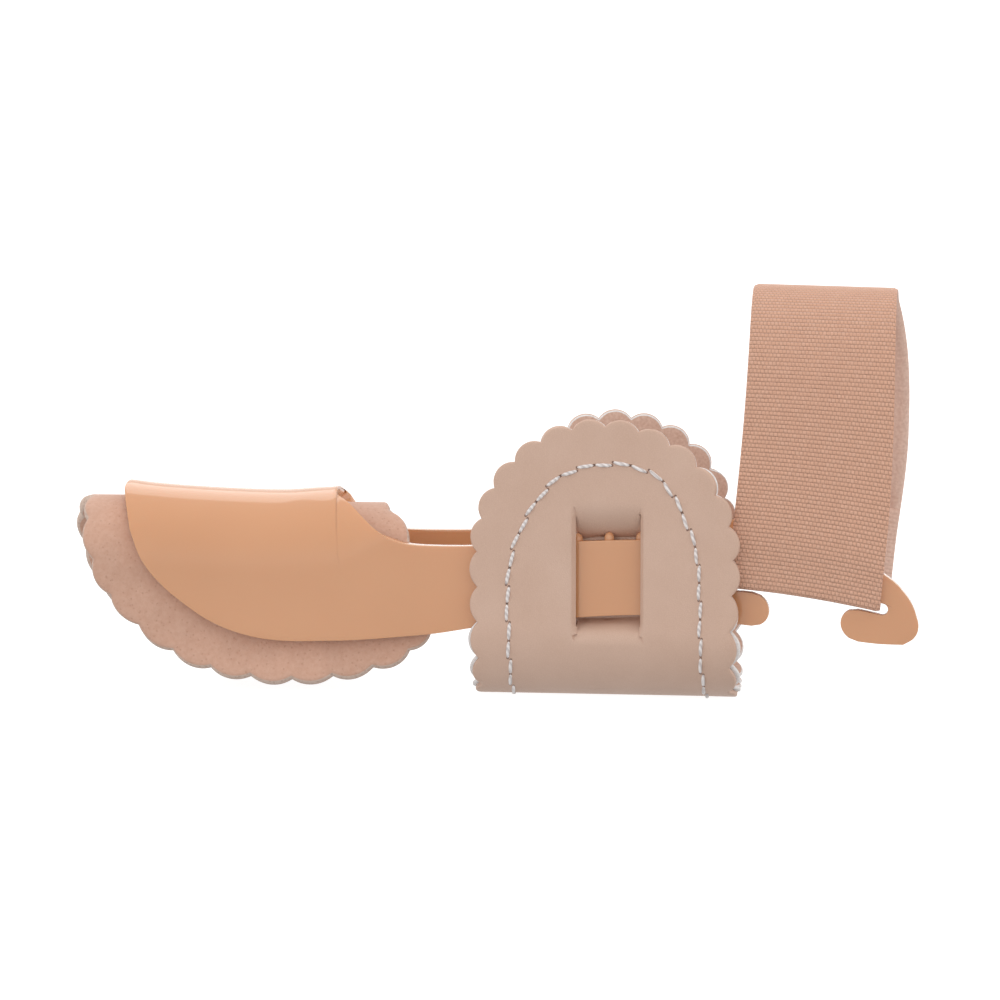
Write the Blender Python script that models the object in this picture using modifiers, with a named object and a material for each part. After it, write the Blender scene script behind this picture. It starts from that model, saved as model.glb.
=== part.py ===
# Bunion corrector: a moulded splint with a toe pad, a leather sling and an elastic strap.
# X runs from the toe end to the heel end, Y across the arms, Z up from the surface it lies on.
import math

import bmesh
import bpy
from mathutils import Vector

MM = 0.001

# Splint frame: one moulding, a half tube over the toe that runs into two arms
TOE_END_X = -78.0 * MM
FRAME_LENGTH = 166.6 * MM
SHELL_BASE_Z = 11.2 * MM
SHELL_HEIGHT = 30.2 * MM
SHELL_HALF_WIDTH = 15.4 * MM
ARM_HALF_WIDTH = 23.2 * MM
WALL = 2.8 * MM
EDGE_ROUND = 0.6 * MM
SHELL_END_SHARE = 0.264
ARM_SPREAD_SHARES = (0.30, 0.83)
ROOF_CORNER = 4.0 * MM
NUB_PITCH = 6.6 * MM
NUB_WIDTH = 2.1 * MM
NUB_HEIGHT = 1.6 * MM
NUBS_PER_ARM = 3
REAR_MOUTH_BACK = 2.0 * MM

# Strap slot in each arm's plate, and the gap that opens it downward between two fingers
SLOT_LENGTH = 31.6 * MM
HEEL_REACH = 6.4 * MM
SLOT_START_X = TOE_END_X + FRAME_LENGTH - SLOT_LENGTH - HEEL_REACH
SLOT_HEIGHT = 2.5 * MM
SLOT_DEPTH_SHARE = 0.51
FINGER_LENGTH = 7.6 * MM
GAP_LENGTH = 14.6 * MM
FINGER_ROUND = 3.0 * MM

# Rear arm's plain rail, which carries the strap's other end
RAIL_REACH = 1.0 * MM
RAIL_ROUND = 2.6 * MM
RAIL_CORNER = 6.0 * MM

# Toe pad: a foam disc folded over under the roof
PAD_THICKNESS = 3.0 * MM
PAD_PLAY = 0.9 * MM
PAD_LENGTH = 75.0 * MM
PAD_DROP = 40.6 * MM
PAD_OVERHANG = 10.4 * MM
PAD_START_X = TOE_END_X - PAD_OVERHANG
PAD_PITCH = 8.7 * MM
PAD_SCALLOP = 1.7 * MM
PAD_FLARE = 3.2 * MM
PAD_REAR_SHIFT = 5.0 * MM
PAD_FLOOR_PLAY = 1.2 * MM
PAD_CUT_STEP = 6.0 * MM

# Leather sling: a scalloped strip folded in a U round both arms
SLING_TO_SLOT = 26.0 * MM
SLING_CENTRE_X = SLOT_START_X - SLING_TO_SLOT
SLING_HALF_WIDTH = 28.3 * MM
SLING_HEIGHT = 59.0 * MM
SLING_FLAT_HALF = 7.0 * MM
SLING_CORNER_HEIGHT = 14.6 * MM
SLING_PITCH = 7.9 * MM
SLING_SCALLOP = 1.9 * MM
SLING_REAR_DROP = 1.3 * MM
SLING_REAR_SHIFT = 0.4 * MM
SLING_RAMP = 6.0 * MM
SLING_TOE_CUT_STEP = 7.0 * MM
SLING_HEEL_CUT_STEP = 5.0 * MM
SLIT_CUT_STEP = 1.15 * MM
COVER_THICKNESS = 1.1 * MM
LINING_THICKNESS = 0.8 * MM
SLIT_SPACING = 14.2 * MM
SLIT_WIDTH = 0.8 * MM
SLIT_BOTTOM_Z = 14.6 * MM
SLIT_TOP_Z = 41.4 * MM

# Elastic strap
STRAP_THICKNESS = 1.4 * MM
STRAP_HEIGHT = 86.2 * MM
STRAP_END_Z = 39.0 * MM
STRAP_LEAN = 2.2 * MM
STRAP_SIDE_PLAY = 0.4 * MM
STRAP_RISE = 4.5 * MM

CLEARANCE = 0.3 * MM

# Crest line of the frame: share of the frame's length, rise as a share of the shell's height
CREST = ((0.0, 0.056), (0.07, 0.022), (0.14, 0.003), (0.20, 0.0), (0.245, 0.018), (0.30, 0.03), (1.0, 0.03))

# Upper edge past the mouth and lower edge: share of the frame's length, share of the shell's height
UPPER_EDGE = (
    (0.264, 1.0), (0.286, 0.94), (0.306, 0.855), (0.324, 0.778), (0.344, 0.715), (0.366, 0.683), (0.400, 0.675),
    (0.454, 0.686), (0.52, 0.729), (0.584, 0.775), (0.652, 0.800), (0.71, 0.797), (0.782, 0.765), (0.856, 0.718),
    (0.916, 0.656), (0.958, 0.58), (0.976, 0.50),
)
LOWER_EDGE = (
    (0.012, 0.762), (0.028, 0.553), (0.052, 0.387), (0.083, 0.245), (0.113, 0.136), (0.144, 0.063), (0.178, 0.017),
    (0.213, 0.0), (0.249, 0.003), (0.298, 0.013), (0.349, 0.043), (0.400, 0.083), (0.449, 0.136), (0.51, 0.188),
    (0.573, 0.228), (0.65, 0.265), (0.711, 0.26), (0.781, 0.228), (0.831, 0.2), (0.92, 0.126), (0.954, 0.106),
    (0.976, 0.103),
)
# Rounded heel end of each plate: row share from the upper edge down, reach as a share of the frame's length
HEEL_END = ((0.0, 0.976), (0.25, 0.990), (0.55, 0.999), (0.75, 1.0), (0.9, 0.994), (1.0, 0.982))

# Toe pad's half outline: share of the pad's length, share of its drop below the fold
PAD_HALF = (
    (0.0, 0.0), (0.002, 0.18), (0.015, 0.36), (0.055, 0.56), (0.13, 0.73), (0.235, 0.86), (0.37, 0.95), (0.53, 0.99),
    (0.70, 1.0), (0.84, 0.95), (0.94, 0.87), (1.0, 0.74), (1.005, 0.56), (0.965, 0.34), (0.91, 0.16), (0.86, 0.0),
)

# Strap's way up from the rail: share of its half width at the rail, share of its height
STRAP_ARCH = (
    (1.0, 0.40), (0.95, 0.50), (0.875, 0.62), (0.79, 0.74), (0.67, 0.85), (0.49, 0.94), (0.25, 0.989), (0.0, 1.0),
)

COLOURS = {
    "plastic": (0.60, 0.31, 0.18, 1.0),
    "suede": (0.56, 0.32, 0.23, 1.0),
    "leather": (0.60, 0.41, 0.30, 1.0),
    "lining": (0.80, 0.76, 0.74, 1.0),
    "elastic": (0.58, 0.33, 0.22, 1.0),
}
ROUGHNESS = {"plastic": 0.25, "suede": 0.95, "leather": 0.5, "lining": 0.8, "elastic": 0.9}


def clear_scene():
    for thing in list(bpy.data.objects):
        bpy.data.objects.remove(thing, do_unlink=True)


def make_collections():
    parts = bpy.data.collections.new("bunion_corrector")
    cutters = bpy.data.collections.new("cutters")
    bpy.context.scene.collection.children.link(parts)
    bpy.context.scene.collection.children.link(cutters)
    return parts, cutters


def make_material(name):
    material = bpy.data.materials.new(name)
    material.use_nodes = True
    shader = material.node_tree.nodes["Principled BSDF"]
    shader.inputs["Base Color"].default_value = COLOURS[name]
    shader.inputs["Roughness"].default_value = ROUGHNESS[name]
    shader.inputs["Metallic"].default_value = 0.0
    return material


def smooth_step(value, low, high):
    share = min(max((value - low) / (high - low), 0.0), 1.0)
    return share * share * (3.0 - 2.0 * share)


def curve_at(table, at):
    """Reads a smooth curve through a table's (place, value) rows."""
    last = len(table) - 1
    if at <= table[0][0]:
        return table[0][1]
    if at >= table[last][0]:
        return table[last][1]
    row = 0
    while table[row + 1][0] < at:
        row += 1
    before, here, there, after = (table[min(max(row + k, 0), last)] for k in (-1, 0, 1, 2))
    span = there[0] - here[0]
    share = (at - here[0]) / span
    rise_here = (there[1] - before[1]) / (there[0] - before[0]) * span
    rise_there = (after[1] - here[1]) / (after[0] - here[0]) * span
    square, cube = share * share, share * share * share
    return (here[1] * (2 * cube - 3 * square + 1) + rise_here * (cube - 2 * square + share)
            + there[1] * (3 * square - 2 * cube) + rise_there * (cube - square))


def smooth_curve(points, steps, closed):
    """Smooth curve through flat points, with an even number of steps between each two."""
    count = len(points)
    loop = []
    for index in range(count if closed else count - 1):
        if closed:
            near = [(index + k) % count for k in (-1, 0, 1, 2)]
        else:
            near = [min(max(index + k, 0), count - 1) for k in (-1, 0, 1, 2)]
        before, here, there, after = (Vector(points[k]) for k in near)
        for step in range(steps):
            t = step / steps
            loop.append(0.5 * ((2 * here) + (there - before) * t
                               + (2 * before - 5 * here + 4 * there - after) * t * t
                               + (3 * here - before - 3 * there + after) * t * t * t))
    if not closed:
        loop.append(Vector(points[-1]))
    return loop


def frame_x(share):
    return TOE_END_X + share * FRAME_LENGTH


def frame_z(share):
    return SHELL_BASE_Z + share * SHELL_HEIGHT


def frame_share(x):
    return (x - TOE_END_X) / FRAME_LENGTH


def half_width(x):
    """Distance from the middle plane to the frame's outer face."""
    spread = smooth_step(frame_share(x), *ARM_SPREAD_SHARES)
    return SHELL_HALF_WIDTH + (ARM_HALF_WIDTH - SHELL_HALF_WIDTH) * spread


def crest_z(x):
    return frame_z(1.0 + curve_at(CREST, frame_share(x)))


def roof_radius(x):
    """Height of the rounded corner between the roof and the side wall."""
    fade = smooth_step(frame_share(x), SHELL_END_SHARE, SHELL_END_SHARE + 0.14)
    return SHELL_HALF_WIDTH + (ROOF_CORNER - SHELL_HALF_WIDTH) * fade


def quarter_length(x):
    return math.pi / 4.0 * (half_width(x) + roof_radius(x))


def unroll(x, z):
    """Height of a point of the frame's outer face, measured along the face from the wall upward."""
    radius = roof_radius(x)
    spring = crest_z(x) - radius
    if z <= spring:
        return z
    angle = math.asin(min((z - spring) / radius, 1.0))
    return spring + angle / (math.pi / 2.0) * quarter_length(x)


def frame_point(x, height):
    """Point of the frame's outer face at an unrolled height, on the side with negative Y."""
    radius = roof_radius(x)
    spring = crest_z(x) - radius
    if height <= spring:
        return Vector((x, -half_width(x), height))
    angle = min((height - spring) / quarter_length(x), 1.0) * math.pi / 2.0
    across = half_width(x) * math.cos(angle)
    if angle >= math.pi / 2.0 - 1e-6:
        across = 0.0
    return Vector((x, -across, spring + radius * math.sin(angle)))


ROWS = 10
SLOT_ROW = 5


def station_list():
    """Upper and lower ends of the frame's sections, as (upper share, lower share) of its length."""
    stations = []
    shell_steps = 12
    for step in range(shell_steps + 1):
        along = step / shell_steps
        stations.append((SHELL_END_SHARE * along, 0.012 + (0.285 - 0.012) * along ** 1.25))
    for step in range(1, 8):
        along = step / 7
        stations.append((SHELL_END_SHARE + (0.40 - SHELL_END_SHARE) * along, 0.285 + (0.40 - 0.285) * along))
    slot_start = frame_share(SLOT_START_X)
    for step in range(1, 9):
        share = 0.40 + (slot_start - 0.40) * step / 8
        stations.append((share, share))
    places = [SLOT_START_X]
    places += [SLOT_START_X + FINGER_LENGTH * step / 3 for step in (1, 2, 3)]
    places += [SLOT_START_X + FINGER_LENGTH + GAP_LENGTH * step / 3 for step in (1, 2, 3)]
    hook = SLOT_LENGTH - FINGER_LENGTH - GAP_LENGTH
    places += [SLOT_START_X + FINGER_LENGTH + GAP_LENGTH + hook * step / 3 for step in (1, 2, 3)]
    for place in places[1:]:
        share = frame_share(place)
        stations.append((share, share))
    last = frame_share(places[-1])
    stations.append((last + (0.976 - last) * 0.5, last + (0.976 - last) * 0.5))
    return stations, len(stations) - 2 - 9, len(stations)


def row_share(row, at):
    """Share of the way from the upper to the lower edge: even rows, which line up with the slot at the plate."""
    even = row / ROWS
    band = frame_z(curve_at(UPPER_EDGE, at)) - frame_z(curve_at(LOWER_EDGE, at))
    slot_top = SLOT_DEPTH_SHARE - SLOT_HEIGHT / band / 2.0
    slot_base = SLOT_DEPTH_SHARE + SLOT_HEIGHT / band / 2.0
    if row <= SLOT_ROW:
        plate = slot_top * row / SLOT_ROW
    else:
        plate = slot_base + (1.0 - slot_base) * (row - SLOT_ROW - 1) / (ROWS - SLOT_ROW - 1)
    blend = smooth_step(at, frame_share(SLOT_START_X) - 0.12, frame_share(SLOT_START_X) - 0.01)
    return even + (plate - even) * blend


def finger_offset(row, radius):
    """How far a finger's round end is set back at a row."""
    middle = (SLOT_ROW + 1 + ROWS) / 2.0
    across = abs(row - middle) / (ROWS - middle)
    return radius * (1.0 - math.sqrt(max(1.0 - across * across, 0.0)))


def rail_setback(row):
    """How far the rail's round end is set back at a row."""
    across = 2.0 * row / SLOT_ROW - 1.0
    return RAIL_ROUND * (1.0 - math.sqrt(max(1.0 - across * across, 0.0)))


def corner_setback(row):
    """How far the rear arm's lower corner is set back at a row below the rail."""
    down = max(row - SLOT_ROW, 0) / (ROWS - SLOT_ROW)
    return RAIL_CORNER * (1.0 - math.sqrt(max(1.0 - down * down, 0.0)))


def mouth_back(upper):
    """How far the rear half's mouth is cut back toward the toe, as a share of the frame's length."""
    start = smooth_step(upper, SHELL_END_SHARE, SHELL_END_SHARE + 0.02)
    end = 1.0 - smooth_step(upper, 0.34, 0.40)
    return REAR_MOUTH_BACK / FRAME_LENGTH * start * end


def section_line(upper, lower, back=0.0):
    """Upper and lower end of one section, as unrolled heights at their own places."""
    upper_x, lower_x = frame_x(upper), frame_x(lower)
    if upper <= SHELL_END_SHARE + 1e-9:
        top = crest_z(upper_x) - roof_radius(upper_x) + quarter_length(upper_x)
    else:
        top = unroll(upper_x, frame_z(curve_at(UPPER_EDGE, upper + back)))
    return upper_x, lower_x, top, unroll(lower_x, frame_z(curve_at(LOWER_EDGE, lower)))


def add_rear_half(mesh):
    """Outer face of the rear half: as the front one up to the plate, where only the rail above the slot runs on."""
    stations, slot_first, heel = station_list()
    slot_last = slot_first + 9
    end_x = SLOT_START_X + SLOT_LENGTH + RAIL_REACH
    grid = []
    for index, (upper, lower) in enumerate(stations[:slot_last] + [(None, None)]):
        line = []
        for row in range(ROWS + 1):
            if index == slot_last:
                upper = lower = frame_share(end_x - rail_setback(min(row, SLOT_ROW)))
            upper_x, lower_x, top, base = section_line(upper, lower, mouth_back(upper))
            share = row_share(row, upper)
            x = upper_x + (lower_x - upper_x) * share
            if index == slot_first:
                x -= corner_setback(row)
            point = frame_point(x, top + (base - top) * share)
            line.append(mesh.verts.new((point.x, -point.y, point.z)))
        grid.append(line)
    for index in range(len(grid) - 1):
        for row in range(ROWS):
            if index >= slot_first and row >= SLOT_ROW:
                continue
            corners = (grid[index][row], grid[index + 1][row], grid[index + 1][row + 1], grid[index][row + 1])
            mesh.faces.new(corners)


def build_frame_faces():
    """Outer face of the frame as a grid of sections, with the slot and the gap left out of the front half."""
    mesh = bmesh.new()
    stations, slot_first, heel = station_list()
    slot_last = slot_first + 9
    gap_first, gap_last = slot_first + 3, slot_first + 6
    grid = []
    for index, (upper, lower) in enumerate(stations):
        line = []
        for row in range(ROWS + 1):
            at, low = upper, lower
            if row > SLOT_ROW and index in (gap_first, gap_last):
                away = finger_offset(row, FINGER_ROUND) / FRAME_LENGTH
                at = low = upper + (away if index == gap_last else -away)
            upper_x, lower_x, top, base = section_line(at, low)
            share = row_share(row, at)
            x = upper_x + (lower_x - upper_x) * share
            line.append(mesh.verts.new(frame_point(x, top + (base - top) * share)))
        grid.append(line)
    line = []
    heel_x = frame_x(HEEL_END[0][1])
    top = frame_z(UPPER_EDGE[-1][1])
    base = frame_z(LOWER_EDGE[-1][1])
    for row in range(ROWS + 1):
        share = row_share(row, HEEL_END[0][1])
        x = frame_x(curve_at(HEEL_END, share))
        line.append(mesh.verts.new(frame_point(max(x, heel_x), top + (base - top) * share)))
    grid.append(line)
    for index in range(len(grid) - 1):
        for row in range(ROWS):
            in_slot = slot_first <= index < slot_last and row == SLOT_ROW
            in_gap = gap_first <= index < gap_last and row > SLOT_ROW
            if in_slot or in_gap:
                continue
            corners = (grid[index][row], grid[index][row + 1], grid[index + 1][row + 1], grid[index + 1][row])
            mesh.faces.new(corners)
    add_rear_half(mesh)
    loose = [vert for vert in mesh.verts if not vert.link_faces]
    bmesh.ops.delete(mesh, geom=loose, context="VERTS")
    crest = [vert for vert in mesh.verts if abs(vert.co.y) < 1e-6]
    bmesh.ops.remove_doubles(mesh, verts=crest, dist=1e-6)
    return mesh


def add_object(name, mesh, collection, material, smooth_angle=40.0):
    data = bpy.data.meshes.new(name)
    mesh.to_mesh(data)
    mesh.free()
    data.materials.append(material)
    data.shade_smooth()
    data.set_sharp_from_angle(angle=math.radians(smooth_angle))
    thing = bpy.data.objects.new(name, data)
    collection.objects.link(thing)
    return thing


def solidify(thing, thickness, offset, even=True):
    modifier = thing.modifiers.new("wall", "SOLIDIFY")
    modifier.thickness = thickness
    modifier.offset = offset
    modifier.use_even_offset = even
    return modifier


def nub_places():
    """Middle of each nub's foot on the arms' upper edges, inside the sling's window."""
    places = []
    for side in (-1.0, 1.0):
        for index in range(NUBS_PER_ARM):
            x = SLING_CENTRE_X + (index - (NUBS_PER_ARM - 1) / 2.0) * NUB_PITCH
            z = frame_z(curve_at(UPPER_EDGE, frame_share(x)))
            places.append(Vector((x, side * (half_width(x) - WALL / 2.0), z)))
    return places


def build_frame(parts, cutters, material):
    thing = add_object("splint_frame", build_frame_faces(), parts, material)
    solidify(thing, WALL, -1.0)
    bevel = thing.modifiers.new("edges", "BEVEL")
    bevel.width = EDGE_ROUND
    bevel.segments = 1
    bevel.limit_method = "ANGLE"
    bevel.angle_limit = math.radians(50.0)
    nubs = bmesh.new()
    for place in nub_places():
        made = bmesh.ops.create_uvsphere(nubs, u_segments=10, v_segments=6, radius=1.0)
        sink = NUB_HEIGHT * 0.6
        for vert in made["verts"]:
            vert.co = place + Vector((vert.co.x * NUB_WIDTH / 2.0, vert.co.y * NUB_WIDTH / 2.0,
                                      vert.co.z * (NUB_HEIGHT + sink) / 2.0 + (NUB_HEIGHT - sink) / 2.0))
    cutter = add_object("nub_shapes", nubs, cutters, material)
    cutter.hide_render = True
    cutter.display_type = "WIRE"
    union = thing.modifiers.new("nubs", "BOOLEAN")
    union.operation = "UNION"
    union.object = cutter
    return thing, cutter


def path_length(points):
    return sum((points[(k + 1) % len(points)] - points[k]).length for k in range(len(points)))


def scalloped(loop, pitch, rise, steps):
    """Closed outline of round lobes whose tips lie on a smooth closed loop."""
    total = path_length(loop)
    lobes = max(round(total / pitch), 8)
    lengths = [0.0]
    for index in range(len(loop)):
        lengths.append(lengths[-1] + (loop[(index + 1) % len(loop)] - loop[index]).length)

    def along(distance):
        distance %= total
        index = 0
        while lengths[index + 1] < distance:
            index += 1
        share = (distance - lengths[index]) / (lengths[index + 1] - lengths[index])
        return loop[index].lerp(loop[(index + 1) % len(loop)], share)

    outline = []
    chord = total / lobes
    radius = chord * chord / (8.0 * rise) + rise / 2.0
    for lobe in range(lobes):
        for step in range(steps):
            at = step / steps
            place = (lobe + at) * chord
            point = along(place)
            ahead = along(place + chord * 0.1) - along(place - chord * 0.1)
            outward = Vector((ahead.y, -ahead.x)).normalized()
            dip = radius - math.sqrt(radius * radius - ((at - 0.5) * chord) ** 2)
            outline.append(point - outward * dip)
    return outline


def sheet_mesh(outline, x_cuts, v_cuts, holes):
    """Flat filled outline, sliced on both ways, with the faces inside the holes taken out."""
    mesh = bmesh.new()
    mesh.faces.new([mesh.verts.new((point.x, point.y, 0.0)) for point in outline])
    for axis, cuts in ((0, x_cuts), (1, v_cuts)):
        for cut in cuts:
            origin = Vector((0.0, 0.0, 0.0))
            origin[axis] = cut
            normal = Vector((0.0, 0.0, 0.0))
            normal[axis] = 1.0
            geometry = list(mesh.verts) + list(mesh.edges) + list(mesh.faces)
            bmesh.ops.bisect_plane(mesh, geom=geometry, plane_co=origin, plane_no=normal, dist=1e-6)
    gone = []
    for face in mesh.faces:
        centre = face.calc_center_median()
        for low_x, high_x, low_v, high_v in holes:
            if low_x < centre.x < high_x and low_v < abs(centre.y) < high_v:
                gone.append(face)
                break
    bmesh.ops.delete(mesh, geom=gone, context="FACES")
    bmesh.ops.remove_doubles(mesh, verts=list(mesh.verts), dist=1e-5)
    bmesh.ops.triangulate(mesh, faces=list(mesh.faces))
    if mesh.faces and sum(face.normal.z for face in mesh.faces) < 0.0:
        bmesh.ops.reverse_faces(mesh, faces=list(mesh.faces))
    return mesh


def spread_cuts(low, high, step):
    count = max(round((high - low) / step), 1)
    return [low + (high - low) * index / count for index in range(1, count)]


def pad_radius():
    return SHELL_HALF_WIDTH - WALL - PAD_PLAY


def pad_arc():
    return (pad_radius() - PAD_THICKNESS / 2.0) * math.pi / 2.0


def pad_point(x, v):
    """Outer face of the folded pad at a distance v from its fold line."""
    side = 1.0 if v > 0.0 else -1.0
    depth = abs(v)
    radius = pad_radius()
    top = crest_z(min(max(x, TOE_END_X), frame_x(SHELL_END_SHARE))) - WALL - PAD_PLAY
    if depth <= pad_arc():
        angle = depth / pad_arc() * math.pi / 2.0
        return Vector((x, side * radius * math.sin(angle), top - radius + radius * math.cos(angle)))
    drop = depth - pad_arc()
    z = top - radius - drop
    free = max(SHELL_BASE_Z + CLEARANCE * 4.0 - z, 0.0)
    flare = PAD_FLARE * (free / (SHELL_BASE_Z - CLEARANCE)) ** 1.5
    return Vector((x, side * (radius + flare), z))


def build_toe_pad(parts, material):
    front = [(PAD_START_X + share * PAD_LENGTH, -drop * PAD_DROP) for share, drop in PAD_HALF]
    rear = [(x, -v) for x, v in reversed(front[1:-1])]
    floor_drop = frame_z(1.0) - WALL - PAD_PLAY - pad_radius() + pad_arc() - PAD_FLOOR_PLAY
    rear = [(x - PAD_REAR_SHIFT * smooth_step(v, 0.0, PAD_DROP * 0.25), v * floor_drop / PAD_DROP) for x, v in rear]
    loop = smooth_curve(front + rear, 6, True)
    outline = scalloped(loop, PAD_PITCH, PAD_SCALLOP, 6)
    arc_cuts = [pad_arc() * step / 5 for step in range(1, 6)]
    below = [pad_arc() + (PAD_DROP - pad_arc()) * share for share in (0.45, 0.65, 0.82)]
    v_cuts = [0.0] + [side * cut for cut in arc_cuts + below for side in (-1.0, 1.0)]
    x_cuts = spread_cuts(PAD_START_X, PAD_START_X + PAD_LENGTH, PAD_CUT_STEP)
    mesh = sheet_mesh(outline, x_cuts, v_cuts, ())
    for vert in mesh.verts:
        vert.co = pad_point(vert.co.x, vert.co.y)
    thing = add_object("toe_pad", mesh, parts, material, 60.0)
    solidify(thing, PAD_THICKNESS, -1.0, even=False)
    return thing


def sling_corner_length():
    """Length of leather in the bend between the flat bottom and the upright flap."""
    across = half_width(SLING_CENTRE_X) - SLING_FLAT_HALF
    return math.pi / 2.0 * math.sqrt((across * across + SLING_CORNER_HEIGHT * SLING_CORNER_HEIGHT) / 2.0)


def sling_flap_start():
    return SLING_FLAT_HALF + sling_corner_length()


def sling_v(z):
    """Distance along the strip from the fold's middle to a height on the upright flap."""
    return sling_flap_start() + z - (COVER_THICKNESS + SLING_CORNER_HEIGHT)


def strip_push(x, z):
    """How far the strip between the slits is pushed in, so that the arm passes in front of it."""
    if abs(x - SLING_CENTRE_X) > SLIT_SPACING / 2.0:
        return 0.0
    band_base = frame_z(curve_at(LOWER_EDGE, frame_share(x)))
    band_top = frame_z(curve_at(UPPER_EDGE, frame_share(x))) + NUB_HEIGHT
    rise = smooth_step(z, SLIT_BOTTOM_Z - COVER_THICKNESS, band_base - COVER_THICKNESS)
    fall = 1.0 - smooth_step(z, band_top + COVER_THICKNESS, SLIT_TOP_Z + COVER_THICKNESS)
    full = WALL + 2.0 * CLEARANCE + 2.0 * COVER_THICKNESS + CLEARANCE + LINING_THICKNESS
    return full * min(rise, fall)


def sling_reach(x):
    """Distance from the middle plane to the cover's inner face on a flap."""
    gap = CLEARANCE + LINING_THICKNESS + CLEARANCE
    over_strap = smooth_step(x, SLOT_START_X - SLING_RAMP, SLOT_START_X - STRAP_SIDE_PLAY)
    return half_width(x) + gap + (STRAP_THICKNESS + 2.0 * CLEARANCE) * over_strap


def sling_point(x, v):
    """Cover's inner face at a distance v from the middle of the fold."""
    side = 1.0 if v > 0.0 else -1.0
    along = abs(v)
    reach = sling_reach(x)
    if along <= SLING_FLAT_HALF:
        return Vector((x, side * along, COVER_THICKNESS))
    if along <= sling_flap_start():
        angle = (along - SLING_FLAT_HALF) / sling_corner_length() * math.pi / 2.0
        y = SLING_FLAT_HALF + (reach - SLING_FLAT_HALF) * math.sin(angle)
        z = COVER_THICKNESS + SLING_CORNER_HEIGHT * (1.0 - math.cos(angle))
    else:
        y = reach
        z = COVER_THICKNESS + SLING_CORNER_HEIGHT + along - sling_flap_start()
    y -= strip_push(x, z)
    return Vector((x, side * y, z))


def sling_outline():
    """Scalloped outline of the flat strip, with semicircular ends; the rear end sits lower and nearer the toe."""
    straight = sling_v(SLING_HEIGHT) - SLING_HALF_WIDTH
    ends = ((0.0, straight - SLING_REAR_DROP, SLING_REAR_SHIFT), (1.0, -straight, 0.0))
    loop = []
    for turn, middle_v, shift in ends:
        for step in range(25):
            angle = math.pi * (step / 24 + turn)
            x = SLING_CENTRE_X - shift + SLING_HALF_WIDTH * math.cos(angle)
            loop.append(Vector((x, SLING_HALF_WIDTH * math.sin(angle) + middle_v)))
    return scalloped(loop, SLING_PITCH, SLING_SCALLOP, 4)


def sling_sheet():
    low_x, high_x = SLING_CENTRE_X - SLING_HALF_WIDTH, SLING_CENTRE_X + SLING_HALF_WIDTH
    slits = []
    holes = []
    for side in (-1.0, 1.0):
        middle = SLING_CENTRE_X + side * SLIT_SPACING / 2.0
        low, high = middle - SLIT_WIDTH / 2.0, middle + SLIT_WIDTH / 2.0
        slits += [low, high]
        holes.append((low, high, sling_v(SLIT_BOTTOM_Z), sling_v(SLIT_TOP_Z)))
    x_cuts = slits + [SLING_CENTRE_X, SLOT_START_X - STRAP_SIDE_PLAY]
    x_cuts += spread_cuts(low_x, slits[0], SLING_TOE_CUT_STEP) + spread_cuts(slits[3], high_x, SLING_HEEL_CUT_STEP)
    bends = [SLING_FLAT_HALF + sling_corner_length() * step / 5 for step in range(6)]
    band_base = frame_z(curve_at(LOWER_EDGE, frame_share(SLING_CENTRE_X)))
    band_top = frame_z(curve_at(UPPER_EDGE, frame_share(SLING_CENTRE_X))) + NUB_HEIGHT
    heights = [SLIT_BOTTOM_Z, SLIT_TOP_Z, band_base, band_top]
    heights += spread_cuts(SLIT_BOTTOM_Z, band_base, SLIT_CUT_STEP)
    heights += spread_cuts(band_top, SLIT_TOP_Z, SLIT_CUT_STEP)
    along = sorted(set(bends + [sling_v(z) for z in heights]))
    v_cuts = [side * cut for cut in along for side in (-1.0, 1.0)]
    mesh = sheet_mesh(sling_outline(), x_cuts, v_cuts, holes)
    for vert in mesh.verts:
        inward = Vector((SLING_CENTRE_X, vert.co.y, 0.0)) - vert.co
        nudge = inward * 1e-4
        strip_edge = abs(abs(vert.co.x - SLING_CENTRE_X) - (SLIT_SPACING - SLIT_WIDTH) / 2.0) < 1e-5
        vert.co = sling_point(vert.co.x + (nudge.x if strip_edge else 0.0), vert.co.y)
    return mesh


def build_sling(parts, materials):
    cover = add_object("bunion_pad_cover", sling_sheet(), parts, materials["leather"], 60.0)
    lining = add_object("bunion_pad_lining", sling_sheet(), parts, materials["lining"], 60.0)
    shift = lining.modifiers.new("gap", "DISPLACE")
    shift.direction = "NORMAL"
    shift.mid_level = 0.0
    shift.strength = CLEARANCE
    solidify(cover, COVER_THICKNESS, -1.0)
    solidify(lining, LINING_THICKNESS, 1.0)
    return [cover, lining]


def slot_middle(x):
    """Height of the slot's middle line."""
    share = frame_share(x)
    top = frame_z(curve_at(UPPER_EDGE, share))
    base = frame_z(curve_at(LOWER_EDGE, share))
    return top + (base - top) * SLOT_DEPTH_SHARE


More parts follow.
